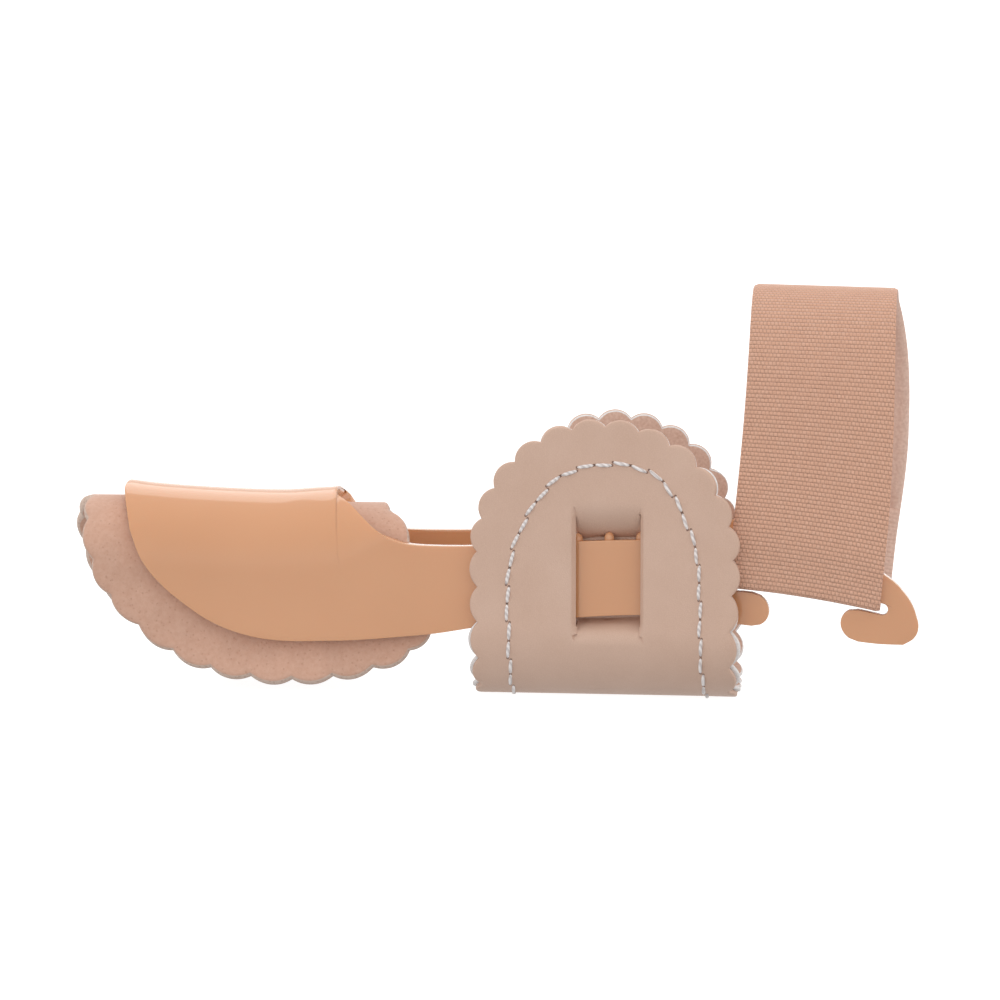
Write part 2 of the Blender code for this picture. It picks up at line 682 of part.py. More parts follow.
def strap_path():
    """Half of the strap's way, from its inner end round the rail to the top: (y, z above the slot's middle)."""
    rail_outer, rail_inner = ARM_HALF_WIDTH, ARM_HALF_WIDTH - WALL
    off = CLEARANCE + STRAP_THICKNESS / 2.0
    middle = slot_middle(SLOT_START_X + SLOT_LENGTH / 2.0)
    points = []
    for share in (1.0, 0.66, 0.33):
        points.append((rail_inner - off, off + (STRAP_END_Z - middle - off) * share))
    for step in range(5):
        angle = math.pi / 2.0 * step / 4
        points.append((rail_inner - off * math.cos(angle), off * (1.0 - math.sin(angle))))
    for step in range(5):
        angle = math.pi / 2.0 * step / 4
        points.append((rail_outer + off * math.sin(angle), off * (1.0 - math.cos(angle))))
    points.append((rail_outer + off, off + STRAP_RISE))
    top = STRAP_HEIGHT - STRAP_THICKNESS / 2.0
    arch = [((rail_outer + off) * reach, top * height - middle) for reach, height in STRAP_ARCH]
    far_side = [(-y, z) for y, z in reversed(arch[:-1])]
    curve = smooth_curve([points[-1]] + arch + far_side, 3, False)
    points += [(point.x, point.y) for point in curve[1:3 * len(arch) + 1]]
    return points


def build_strap(parts, material):
    half = strap_path()
    path = [(-y, z) for y, z in half] + [(y, z) for y, z in reversed(half[:-1])]
    width = SLOT_LENGTH - 2.0 * STRAP_SIDE_PLAY
    start = SLOT_START_X + STRAP_SIDE_PLAY
    middle = slot_middle(start + width / 2.0)
    columns = 4
    mesh = bmesh.new()
    grid = []
    for y, z in path:
        rise = min(max(z / (STRAP_HEIGHT - middle), 0.0), 1.0)
        line = []
        for column in range(columns + 1):
            x = start + width * column / columns
            slant = (slot_middle(x) - middle) * (1.0 - smooth_step(rise, 0.0, 1.0))
            line.append(mesh.verts.new((x + STRAP_LEAN * math.sin(rise * math.pi / 2.0), y, middle + z + slant)))
        grid.append(line)
    for index in range(len(grid) - 1):
        for column in range(columns):
            corners = (grid[index][column], grid[index][column + 1], grid[index + 1][column + 1],
                       grid[index + 1][column])
            mesh.faces.new(corners)
    thing = add_object("elastic_strap", mesh, parts, material, 60.0)
    solidify(thing, STRAP_THICKNESS, 0.0)
    return thing


def evaluated_corners(things):
    graph = bpy.context.evaluated_depsgraph_get()
    low = Vector((1e9, 1e9, 1e9))
    high = Vector((-1e9, -1e9, -1e9))
    for thing in things:
        shape = thing.evaluated_get(graph)
        data = shape.to_mesh()
        for vert in data.vertices:
            point = shape.matrix_world @ vert.co
            for axis in range(3):
                low[axis] = min(low[axis], point[axis])
                high[axis] = max(high[axis], point[axis])
        shape.to_mesh_clear()
    return low, high


def centre_on_floor(things, extra, parts):
    """Hangs everything on one empty and puts the middle of the base at the origin."""
    bpy.context.view_layer.update()
    low, high = evaluated_corners(things)
    holder = bpy.data.objects.new("origin", None)
    parts.objects.link(holder)
    for thing in things + extra:
        thing.parent = holder
    holder.location = (-(low.x + high.x) / 2.0, -(low.y + high.y) / 2.0, -low.z)
    bpy.context.view_layer.update()


def main():
    clear_scene()
    parts, cutters = make_collections()
    materials = {name: make_material(name) for name in COLOURS}
    frame, nubs = build_frame(parts, cutters, materials["plastic"])
    things = [frame, build_toe_pad(parts, materials["suede"])]
    things += build_sling(parts, materials)
    things.append(build_strap(parts, materials["elastic"]))
    centre_on_floor(things, [nubs], parts)


main()
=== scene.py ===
"""Dresses the bunion corrector: moulded splint, suede toe pad, leather sling and ribbed elastic strap."""
import math

import bmesh
import bpy
import numpy as np
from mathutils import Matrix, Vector, geometry, noise


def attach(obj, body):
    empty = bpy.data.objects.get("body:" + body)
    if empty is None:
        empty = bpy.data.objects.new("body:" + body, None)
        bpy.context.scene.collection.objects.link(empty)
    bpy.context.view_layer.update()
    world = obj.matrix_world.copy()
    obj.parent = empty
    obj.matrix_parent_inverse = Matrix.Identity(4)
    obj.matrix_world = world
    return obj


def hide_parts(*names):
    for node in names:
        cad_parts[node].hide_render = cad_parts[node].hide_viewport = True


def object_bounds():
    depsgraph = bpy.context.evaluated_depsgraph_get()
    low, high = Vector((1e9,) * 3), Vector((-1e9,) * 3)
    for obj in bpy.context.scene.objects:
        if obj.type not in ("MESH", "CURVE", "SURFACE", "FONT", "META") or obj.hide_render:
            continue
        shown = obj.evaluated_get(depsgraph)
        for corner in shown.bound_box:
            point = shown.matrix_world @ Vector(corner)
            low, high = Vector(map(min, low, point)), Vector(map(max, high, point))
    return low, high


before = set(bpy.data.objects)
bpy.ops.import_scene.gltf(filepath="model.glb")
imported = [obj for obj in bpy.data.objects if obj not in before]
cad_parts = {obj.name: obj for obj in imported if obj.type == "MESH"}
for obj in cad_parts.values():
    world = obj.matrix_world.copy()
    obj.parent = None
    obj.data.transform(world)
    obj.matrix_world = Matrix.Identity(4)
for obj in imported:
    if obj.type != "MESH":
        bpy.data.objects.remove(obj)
CAD_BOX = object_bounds()

bl_info = {
    "name": "Bunion Corrector",
    "version": (1, 0, 0),
    "blender": (4, 5, 0),
    "location": "View3D > Sidebar > Bunion Corrector",
    "description": "Builds the visible pieces of a bunion corrector and a plain studio round it",
    "category": "Add Mesh",
}

MM = 0.001

# The part's own frame starts this far along X from the one that these sizes are written in
ROW_SHIFT = Vector((2.525 * MM, 0.007 * MM, 0.0))

# Splint frame
TOE_END_X = -78.0 * MM
FRAME_LENGTH = 166.6 * MM
SHELL_BASE_Z = 11.2 * MM
SHELL_HEIGHT = 30.2 * MM
SHELL_HALF_WIDTH = 15.4 * MM
ARM_HALF_WIDTH = 23.2 * MM
WALL = 2.8 * MM
SHELL_END_SHARE = 0.264
SHELL_LOWER_SHARES = (0.012, 0.285)
TOE_SLANT_POWER = 1.25
MOUTH_END_SHARE = 0.40
PLATE_END_SHARE = 0.976
ARM_SPREAD_SHARES = (0.30, 0.83)
ROOF_FADE_SHARE = 0.14
ROOF_CORNER = 4.0 * MM
NUB_PITCH = 6.6 * MM
NUB_WIDTH = 2.1 * MM
NUB_HEIGHT = 1.6 * MM
NUB_SINK_SHARE = 0.6
NUBS_PER_ARM = 3
TOE_LIP = 1.8 * MM
TOE_LIP_FADE_SHARE = 0.12
TOE_CORNER = 1.6 * MM
TOE_CORNER_FADE_SHARE = 0.04
REAR_MOUTH_BACK = 5.0 * MM
MOUTH_BACK_RAMP_SHARE = 0.02
MOUTH_BACK_FADE_SHARE = 0.34
SLOT_LENGTH = 32.0 * MM
HEEL_REACH = 7.4 * MM
SLOT_START_X = TOE_END_X + FRAME_LENGTH - SLOT_LENGTH - HEEL_REACH
SLOT_HEIGHT = 2.5 * MM
SLOT_DEPTH_SHARE = 0.51
FINGER_LENGTH = 9.0 * MM
GAP_LENGTH = 14.6 * MM
FINGER_ROUND = 3.6 * MM

# Rear arm's plain rail
RAIL_REACH = 1.0 * MM
RAIL_ROUND = 2.6 * MM
RAIL_CORNER = 6.0 * MM

# Toe pad
PAD_THICKNESS = 3.0 * MM
PAD_PLAY = 0.5 * MM
PAD_LENGTH = 75.0 * MM
PAD_DROP = 40.6 * MM
PAD_OVERHANG = 9.5 * MM
PAD_START_X = TOE_END_X - PAD_OVERHANG
PAD_PITCH = 8.7 * MM
PAD_SCALLOP = 1.2 * MM
PAD_FLARE = 3.2 * MM
PAD_REAR_SHIFT = 5.0 * MM
PAD_FLOOR_PLAY = 1.2 * MM
PAD_FLARE_START = 1.2 * MM
PAD_FLARE_REACH = 10.9 * MM

# Leather sling
SLING_TO_SLOT = 24.1 * MM
SLING_CENTRE_X = SLOT_START_X - SLING_TO_SLOT
SLING_HALF_WIDTH = 28.3 * MM
SLING_HEIGHT = 59.0 * MM
SLING_FLAT_HALF = 7.0 * MM
SLING_CORNER_HEIGHT = 14.6 * MM
SLING_PITCH = 7.4 * MM
SLING_FRONT_SHIFT = 0.7 * MM
SLING_REAR_DROP = 2.0 * MM
SLING_REAR_SHIFT = 2.2 * MM
SLING_REAR_HALF_WIDTH = 25.8 * MM
SLING_RAMP = 6.0 * MM
LINING_SHOWS = 0.7 * MM
LINING_HIDES = 0.15 * MM
COVER_THICKNESS = 1.1 * MM
COVER_ROUND = 0.4 * MM
LINING_THICKNESS = 0.8 * MM
LINING_ROUND = 0.3 * MM
LINING_GAP = 0.03 * MM
SLIT_SPACING = 14.2 * MM
SLIT_WIDTH = 0.35 * MM
SLIT_BOTTOM_Z = 14.6 * MM
SLIT_TOP_Z = 40.8 * MM
STRIP_BEND = 1.7

# Stitching
STITCH_STAGGER = 0.16 * MM
STITCH_SKEW = 0.16 * MM
THREAD_SIDES = 8
THREAD_RINGS = 8
HOLE_RADIUS = 0.3 * MM
HOLE_DEPTH = 0.12 * MM
HOLE_PROUD = 0.02 * MM
HOLE_SIDES = 10

# Elastic strap
STRAP_THICKNESS = 1.4 * MM
STRAP_HEIGHT = 85.4 * MM
STRAP_END_Z = 39.0 * MM
STRAP_LEAN = 4.0 * MM
STRAP_TAPER = 1.5 * MM
STRAP_TOP_SLANT = 0.7 * MM
STRAP_REAR_LEAN = 2.2 * MM
STRAP_REAR_FROM = 8.0 * MM
STRAP_REAR_TO = 20.0 * MM
STRAP_EDGE_ROUND = 0.6 * MM
STRAP_PILE_SIZE = 0.9 * MM
STRAP_SIDE_PLAY = 0.4 * MM
STRAP_RISE = 4.5 * MM

CLEARANCE = 0.3 * MM

# Softbox over the object, in metres from its middle
SOFTBOX_PLACE = (-0.155, 0.446, 0.513)
SOFTBOX_SIZE = (0.16, 0.42)

# Crest line of the frame: share of the frame's length, rise as a share of the shell's height
CREST = ((0.0, 0.056), (0.07, 0.022), (0.14, 0.003), (0.20, 0.0), (0.245, 0.018), (0.30, 0.03), (1.0, 0.03))

# Upper edge past the mouth and lower edge: share of the frame's length, share of the shell's height
UPPER_EDGE = (
    (0.264, 1.0), (0.286, 0.94), (0.306, 0.855), (0.324, 0.778), (0.344, 0.715), (0.366, 0.683), (0.400, 0.675),
    (0.454, 0.682), (0.52, 0.708), (0.584, 0.735), (0.652, 0.753), (0.71, 0.755), (0.782, 0.735), (0.856, 0.69),
    (0.916, 0.627), (0.958, 0.551), (0.976, 0.47),
)
LOWER_EDGE = (
    (0.012, 0.762), (0.028, 0.553), (0.052, 0.387), (0.083, 0.245), (0.113, 0.136), (0.144, 0.063),
    (0.178, 0.017), (0.213, 0.0), (0.249, 0.003), (0.298, 0.013), (0.349, 0.038), (0.400, 0.07),
    (0.449, 0.118), (0.51, 0.168), (0.573, 0.208), (0.65, 0.24), (0.711, 0.232), (0.781, 0.195),
    (0.831, 0.165), (0.92, 0.095), (0.954, 0.075), (0.976, 0.072),
)
# Rounded heel end of each plate: row share from the upper edge down, reach as a share of the frame's length
HEEL_END = ((0.0, 0.976), (0.25, 0.990), (0.55, 0.999), (0.75, 1.0), (0.9, 0.994), (1.0, 0.982))

# Toe pad's half outline: share of the pad's length, share of its drop below the fold
PAD_HALF = (
    (0.0, 0.0), (0.002, 0.18), (0.015, 0.36), (0.055, 0.56), (0.13, 0.73), (0.235, 0.86),
    (0.37, 0.95), (0.53, 0.99), (0.70, 1.0), (0.84, 0.95), (0.94, 0.87), (1.0, 0.74),
    (1.005, 0.56), (0.965, 0.34), (0.91, 0.16), (0.86, 0.0),
)

# Stitching on a flap: share of the sling's half width from its middle, share of its height
STITCH_ARCH = (
    (-0.728, 0.26), (-0.739, 0.38), (-0.70, 0.53), (-0.64, 0.603), (-0.558, 0.681), (-0.417, 0.768),
    (-0.286, 0.812), (-0.05, 0.842), (0.187, 0.839), (0.353, 0.807), (0.456, 0.759), (0.56, 0.665),
    (0.661, 0.536), (0.686, 0.437), (0.696, 0.32),
)

# Strap's way up from the rail: share of its half width at the rail, share of its height
STRAP_ARCH = (
    (1.0, 0.40), (0.95, 0.50), (0.875, 0.62), (0.79, 0.74), (0.67, 0.85), (0.49, 0.94),
    (0.25, 0.989), (0.0, 1.0),
)


def smooth_step(value, low, high):
    share = min(max((value - low) / (high - low), 0.0), 1.0)
    return share * share * (3.0 - 2.0 * share)


def curve_at(table, at):
    """Reads a smooth curve through a table's (place, value) rows."""
    last = len(table) - 1
    if at <= table[0][0]:
        return table[0][1]
    if at >= table[last][0]:
        return table[last][1]
    row = 0
    while table[row + 1][0] < at:
        row += 1
    before, here, there, after = (table[min(max(row + k, 0), last)] for k in (-1, 0, 1, 2))
    span = there[0] - here[0]
    share = (at - here[0]) / span
    rise_here = (there[1] - before[1]) / (there[0] - before[0]) * span
    rise_there = (after[1] - here[1]) / (after[0] - here[0]) * span
    square, cube = share * share, share * share * share
    return (here[1] * (2 * cube - 3 * square + 1) + rise_here * (cube - 2 * square + share)
            + there[1] * (3 * square - 2 * cube) + rise_there * (cube - square))


def smooth_curve(points, steps, closed):
    """Smooth curve through flat points, with an even number of steps between each two."""
    count = len(points)
    loop = []
    for index in range(count if closed else count - 1):
        if closed:
            near = [(index + k) % count for k in (-1, 0, 1, 2)]
        else:
            near = [min(max(index + k, 0), count - 1) for k in (-1, 0, 1, 2)]
        before, here, there, after = (Vector(points[k]) for k in near)
        for step in range(steps):
            t = step / steps
            loop.append(0.5 * ((2 * here) + (there - before) * t
                               + (2 * before - 5 * here + 4 * there - after) * t * t
                               + (3 * here - before - 3 * there + after) * t * t * t))
    if not closed:
        loop.append(Vector(points[-1]))
    return loop


def frame_x(share):
    return TOE_END_X + share * FRAME_LENGTH


def frame_z(share):
    return SHELL_BASE_Z + share * SHELL_HEIGHT


def frame_share(x):
    return (x - TOE_END_X) / FRAME_LENGTH


def half_width(x):
    """Distance from the middle plane to the frame's outer face."""
    spread = smooth_step(frame_share(x), *ARM_SPREAD_SHARES)
    return SHELL_HALF_WIDTH + (ARM_HALF_WIDTH - SHELL_HALF_WIDTH) * spread


def crest_z(x):
    return frame_z(1.0 + curve_at(CREST, frame_share(x)))


def roof_radius(x):
    """Height of the rounded corner between the roof and the side wall."""
    fade = smooth_step(frame_share(x), SHELL_END_SHARE, SHELL_END_SHARE + ROOF_FADE_SHARE)
    return SHELL_HALF_WIDTH + (ROOF_CORNER - SHELL_HALF_WIDTH) * fade


def quarter_length(x):
    return math.pi / 4.0 * (half_width(x) + roof_radius(x))


def unroll(x, z):
    """Height of a point of the frame's outer face, measured along the face from the wall upward."""
    radius = roof_radius(x)
    spring = crest_z(x) - radius
    if z <= spring:
        return z
    angle = math.asin(min((z - spring) / radius, 1.0))
    return spring + angle / (math.pi / 2.0) * quarter_length(x)


def frame_point(x, height):
    """Point of the frame's outer face at an unrolled height, on the side with negative Y."""
    radius = roof_radius(x)
    spring = crest_z(x) - radius
    if height <= spring:
        return Vector((x, -half_width(x), height))
    angle = min((height - spring) / quarter_length(x), 1.0) * math.pi / 2.0
    across = half_width(x) * math.cos(angle)
    if angle >= math.pi / 2.0 - 1e-6:
        across = 0.0
    return Vector((x, -across, spring + radius * math.sin(angle)))


# Rows of faces from the upper to the lower edge, and the row that the strap slot takes
ROWS = 30
SLOT_ROW = 15
SHELL_STEPS = 44
MOUTH_STEPS = 30
ARM_STEPS = 34
FINGER_STEPS = 5
CORNER_STEPS = 6
RAIL_STEPS = 3
SLOT_END_STEPS = 8
# Where the last section before the heel stands, and how far before the slot the rows line up with it
LAST_SECTION_SHARE = 0.66
SLOT_BLEND_SHARES = (0.12, 0.01)


def station_list():
    """Upper and lower ends of the frame's sections, as (upper share, lower share) of its length."""
    stations = []
    lower_start, lower_end = SHELL_LOWER_SHARES
    for step in range(SHELL_STEPS + 1):
        along = step / SHELL_STEPS
        lower = lower_start + (lower_end - lower_start) * along ** TOE_SLANT_POWER
        stations.append((SHELL_END_SHARE * along, lower))
    for step in range(1, MOUTH_STEPS + 1):
        along = step / MOUTH_STEPS
        stations.append((SHELL_END_SHARE + (MOUTH_END_SHARE - SHELL_END_SHARE) * along,
                         lower_end + (MOUTH_END_SHARE - lower_end) * along))
    slot_start = frame_share(SLOT_START_X)
    for step in range(1, ARM_STEPS + 1):
        share = MOUTH_END_SHARE + (slot_start - MOUTH_END_SHARE) * step / ARM_STEPS
        stations.append((share, share))
    slot_first = len(stations) - 1
    hook = SLOT_LENGTH - FINGER_LENGTH - GAP_LENGTH
    start = SLOT_START_X
    for length in (FINGER_LENGTH, GAP_LENGTH, hook):
        for step in range(1, FINGER_STEPS + 1):
            share = frame_share(start + length * step / FINGER_STEPS)
            stations.append((share, share))
        start += length
    share = stations[-1][0] + (PLATE_END_SHARE - stations[-1][0]) * LAST_SECTION_SHARE
    stations.append((share, share))
    return stations, slot_first


def row_share(row, at):
    """Share of the way from the upper to the lower edge: even rows, which line up with the slot."""
    even = row / ROWS
    band = frame_z(curve_at(UPPER_EDGE, at)) - frame_z(curve_at(LOWER_EDGE, at))
    slot_top = SLOT_DEPTH_SHARE - SLOT_HEIGHT / band / 2.0
    slot_base = SLOT_DEPTH_SHARE + SLOT_HEIGHT / band / 2.0
    if row <= SLOT_ROW:
        plate = slot_top * row / SLOT_ROW
    else:
        plate = slot_base + (1.0 - slot_base) * (row - SLOT_ROW - 1) / (ROWS - SLOT_ROW - 1)
    blend = smooth_step(at, *(frame_share(SLOT_START_X) - before for before in SLOT_BLEND_SHARES))
    return even + (plate - even) * blend


def quarter_round(across):
    """Set-back of a quarter circle, as a share of its radius."""
    return 1.0 - math.sqrt(max(1.0 - across * across, 0.0))


def mouth_back(upper):
    """How far the rear half's mouth is cut back toward the toe, as a share of the frame's length."""
    start = smooth_step(upper, SHELL_END_SHARE, SHELL_END_SHARE + MOUTH_BACK_RAMP_SHARE)
    end = 1.0 - smooth_step(upper, MOUTH_BACK_FADE_SHARE, MOUTH_END_SHARE)
    return REAR_MOUTH_BACK / FRAME_LENGTH * start * end


def section_point(upper, lower, row, back=0.0):
    """Point of a slanting section at a row; the toe end leans out to a rounded corner at the crest."""
    upper_x, lower_x = frame_x(upper), frame_x(lower)
    if upper <= SHELL_END_SHARE + 1e-9:
        top = crest_z(upper_x) - roof_radius(upper_x) + quarter_length(upper_x)
    else:
        top = unroll(upper_x, frame_z(curve_at(UPPER_EDGE, upper + back)))
    base = unroll(lower_x, frame_z(curve_at(LOWER_EDGE, lower)))
    share = row_share(row, upper)
    point = frame_point(upper_x + (lower_x - upper_x) * share, top + (base - top) * share)
    point.x -= TOE_LIP * (1.0 - smooth_step(upper, 0.0, TOE_LIP_FADE_SHARE)) * (1.0 - share)
    near_crest = min(max(1.0 - (crest_z(upper_x) - point.z) / TOE_CORNER, 0.0), 1.0)
    fade = 1.0 - smooth_step(upper, 0.0, TOE_CORNER_FADE_SHARE)
    point.x += TOE_CORNER * quarter_round(near_crest) * fade
    return point


def front_setback(index, row, slot_first):
    """How far a front finger's round end moves a point along X."""
    if row <= SLOT_ROW:
        return 0.0
    middle = (SLOT_ROW + 1 + ROWS) / 2.0
    offset = FINGER_ROUND * quarter_round(abs(row - middle) / (ROWS - middle))
    gap_first, gap_last = slot_first + FINGER_STEPS, slot_first + 2 * FINGER_STEPS
    if index <= gap_first:
        return -offset * max(1.0 - (gap_first - index) / FINGER_STEPS, 0.0)
    if index >= gap_last:
        return offset * max(1.0 - (index - gap_last) / FINGER_STEPS, 0.0)
    return 0.0


def rear_setback(index, row, slot_first):
    """How far the rear arm's lower corner and its rail's round end move a point along X."""
    slot_last = slot_first + 3 * FINGER_STEPS
    shift = 0.0
    if row > SLOT_ROW and index <= slot_first:
        down = (row - SLOT_ROW) / (ROWS - SLOT_ROW)
        shift -= RAIL_CORNER * quarter_round(down) * max(1.0 - (slot_first - index) / CORNER_STEPS, 0.0)
    if index > slot_last - RAIL_STEPS:
        across = 2.0 * min(row, SLOT_ROW) / SLOT_ROW - 1.0
        near = 1.0 - (slot_last - index) / RAIL_STEPS
        shift += (RAIL_REACH - RAIL_ROUND * quarter_round(across)) * near
    return shift


def half_grid(mesh, stations, slot_first, side, setback):
    """Grid of points of one half, on the side with that sign of Y."""
    grid = []
    slanting = SHELL_STEPS + MOUTH_STEPS
    for index, (upper, lower) in enumerate(stations):
        line = []
        for row in range(ROWS + 1):
            if index <= slanting:
                point = section_point(upper, lower, row, mouth_back(upper) if side > 0.0 else 0.0)
            else:
                at = frame_share(frame_x(upper) + setback(index, row, slot_first))
                point = section_point(at, at, row)
            line.append(mesh.verts.new((point.x, -side * point.y, point.z)))
        grid.append(line)
    return grid


def cell(grid, index, row):
    """Four corners of a grid's cell, in order."""
    return [grid[index][row], grid[index][row + 1], grid[index + 1][row + 1], grid[index + 1][row]]


def frame_mesh():
    """Outer face of the frame: a hooked plate on the front arm and a plain rail on the rear one."""
    mesh = bmesh.new()
    stations, slot_first = station_list()
    slot_last = slot_first + 3 * FINGER_STEPS
    gap_first, gap_last = slot_first + FINGER_STEPS, slot_first + 2 * FINGER_STEPS
    front = half_grid(mesh, stations, slot_first, -1.0, front_setback)
    rear = half_grid(mesh, stations[:slot_last + 1], slot_first, 1.0, rear_setback)
    heel = []
    heel_x = frame_x(HEEL_END[0][1])
    top, base = frame_z(UPPER_EDGE[-1][1]), frame_z(LOWER_EDGE[-1][1])
    for row in range(ROWS + 1):
        share = row_share(row, HEEL_END[0][1])
        x = max(frame_x(curve_at(HEEL_END, share)), heel_x)
        heel.append(mesh.verts.new(frame_point(x, top + (base - top) * share)))
    front.append(heel)
    for index in range(len(front) - 1):
        for row in range(ROWS):
            in_slot = slot_first <= index < slot_last and row == SLOT_ROW
            in_gap = gap_first <= index < gap_last and row > SLOT_ROW
            if in_slot or in_gap:
                continue
            corners = cell(front, index, row)
            if index == slot_last and row == SLOT_ROW:
                high, low = corners[0].co, corners[1].co
                middle, radius = (high + low) / 2.0, (high - low).length / 2.0
                arc = []
                for step in range(1, SLOT_END_STEPS):
                    angle = math.pi * step / SLOT_END_STEPS
                    arc.append(mesh.verts.new(middle + Vector((radius * math.sin(angle), 0.0,
                                                               radius * math.cos(angle)))))
                corners = [corners[0]] + arc + corners[1:]
            mesh.faces.new(corners)
    for index in range(len(rear) - 1):
        for row in range(ROWS):
            if index < slot_first or row < SLOT_ROW:
                mesh.faces.new(cell(rear, index, row)[::-1])
    loose = [vert for vert in mesh.verts if not vert.link_faces]
    bmesh.ops.delete(mesh, geom=loose, context="VERTS")
    crest = [vert for vert in mesh.verts if abs(vert.co.y) < 1e-6]
    bmesh.ops.remove_doubles(mesh, verts=crest, dist=1e-6)
    return mesh


def nub_places():
    """Middle of each nub's foot on the arms' upper edges, inside the sling's window."""
    places = []
    for side in (-1.0, 1.0):
        for index in range(NUBS_PER_ARM):
            x = SLING_CENTRE_X + (index - (NUBS_PER_ARM - 1) / 2.0) * NUB_PITCH
            z = frame_z(curve_at(UPPER_EDGE, frame_share(x)))
            places.append(Vector((x, side * (half_width(x) - WALL / 2.0), z)))
    return places


def add_object(name, mesh, materials, smooth_angle=60.0):
    """Turns a bmesh into an object in the part's own frame."""
    bmesh.ops.translate(mesh, verts=mesh.verts, vec=ROW_SHIFT)
    data = bpy.data.meshes.new(name)
    mesh.to_mesh(data)
    mesh.free()
    for material in materials:
        data.materials.append(material)
    data.shade_smooth()
    data.set_sharp_from_angle(angle=math.radians(smooth_angle))
    thing = bpy.data.objects.new(name, data)
    bpy.context.scene.collection.objects.link(thing)
    return thing


def path_length(points):
    return sum((points[(k + 1) % len(points)] - points[k]).length for k in range(len(points)))


def scalloped(loop, pitch, rise, steps, grow=None):
    """Closed outline of lobes, each an arc of a circle, whose tips lie on a smooth closed loop."""
    total = path_length(loop)
    lobes = max(round(total / pitch), 8)
    lengths = [0.0]
    for index in range(len(loop)):
        lengths.append(lengths[-1] + (loop[(index + 1) % len(loop)] - loop[index]).length)
    stops = np.array(lengths)

    def along(distance):
        distance %= total
        index = int(np.searchsorted(stops, distance, side="right")) - 1
        index = min(max(index, 0), len(loop) - 1)
        share = (distance - lengths[index]) / (lengths[index + 1] - lengths[index])
        return loop[index].lerp(loop[(index + 1) % len(loop)], share)

    outline = []
    chord = total / lobes
    radius = chord * chord / (8.0 * rise) + rise / 2.0
    for lobe in range(lobes):
        for step in range(steps):
            at = step / steps
            place = (lobe + at) * chord
            point = along(place)
            ahead = along(place + chord * 0.1) - along(place - chord * 0.1)
            outward = Vector((ahead.y, -ahead.x)).normalized()
            dip = radius - math.sqrt(radius * radius - ((at - 0.5) * chord) ** 2)
            outline.append(point - outward * (dip - (grow(point) if grow else 0.0)))
    return outline


def inside(points, loop):
    """Which of the flat points lie inside a closed loop."""
    x, y = points[:, 0], points[:, 1]
    found = np.zeros(len(points), dtype=bool)
    for index in range(len(loop)):
        ax, ay = loop[index]
        bx, by = loop[(index + 1) % len(loop)]
        if ay == by:
            continue
        crosses = (ay > y) != (by > y)
        found ^= crosses & (x < (bx - ax) * (y - ay) / (by - ay) + ax)
    return found


def inset(loop, distance, sign):
    """Moves each point of a closed loop along its normal."""
    count = len(loop)
    moved = []
    for index in range(count):
        ahead = (loop[(index + 1) % count] - loop[index]).normalized()
        behind = (loop[index] - loop[index - 1]).normalized()
        way = (ahead + behind).normalized()
        moved.append(loop[index] + Vector((-way.y, way.x)) * distance * sign)
    return moved


RING_SHARES = (0.0, 0.12, 0.45, 1.0)


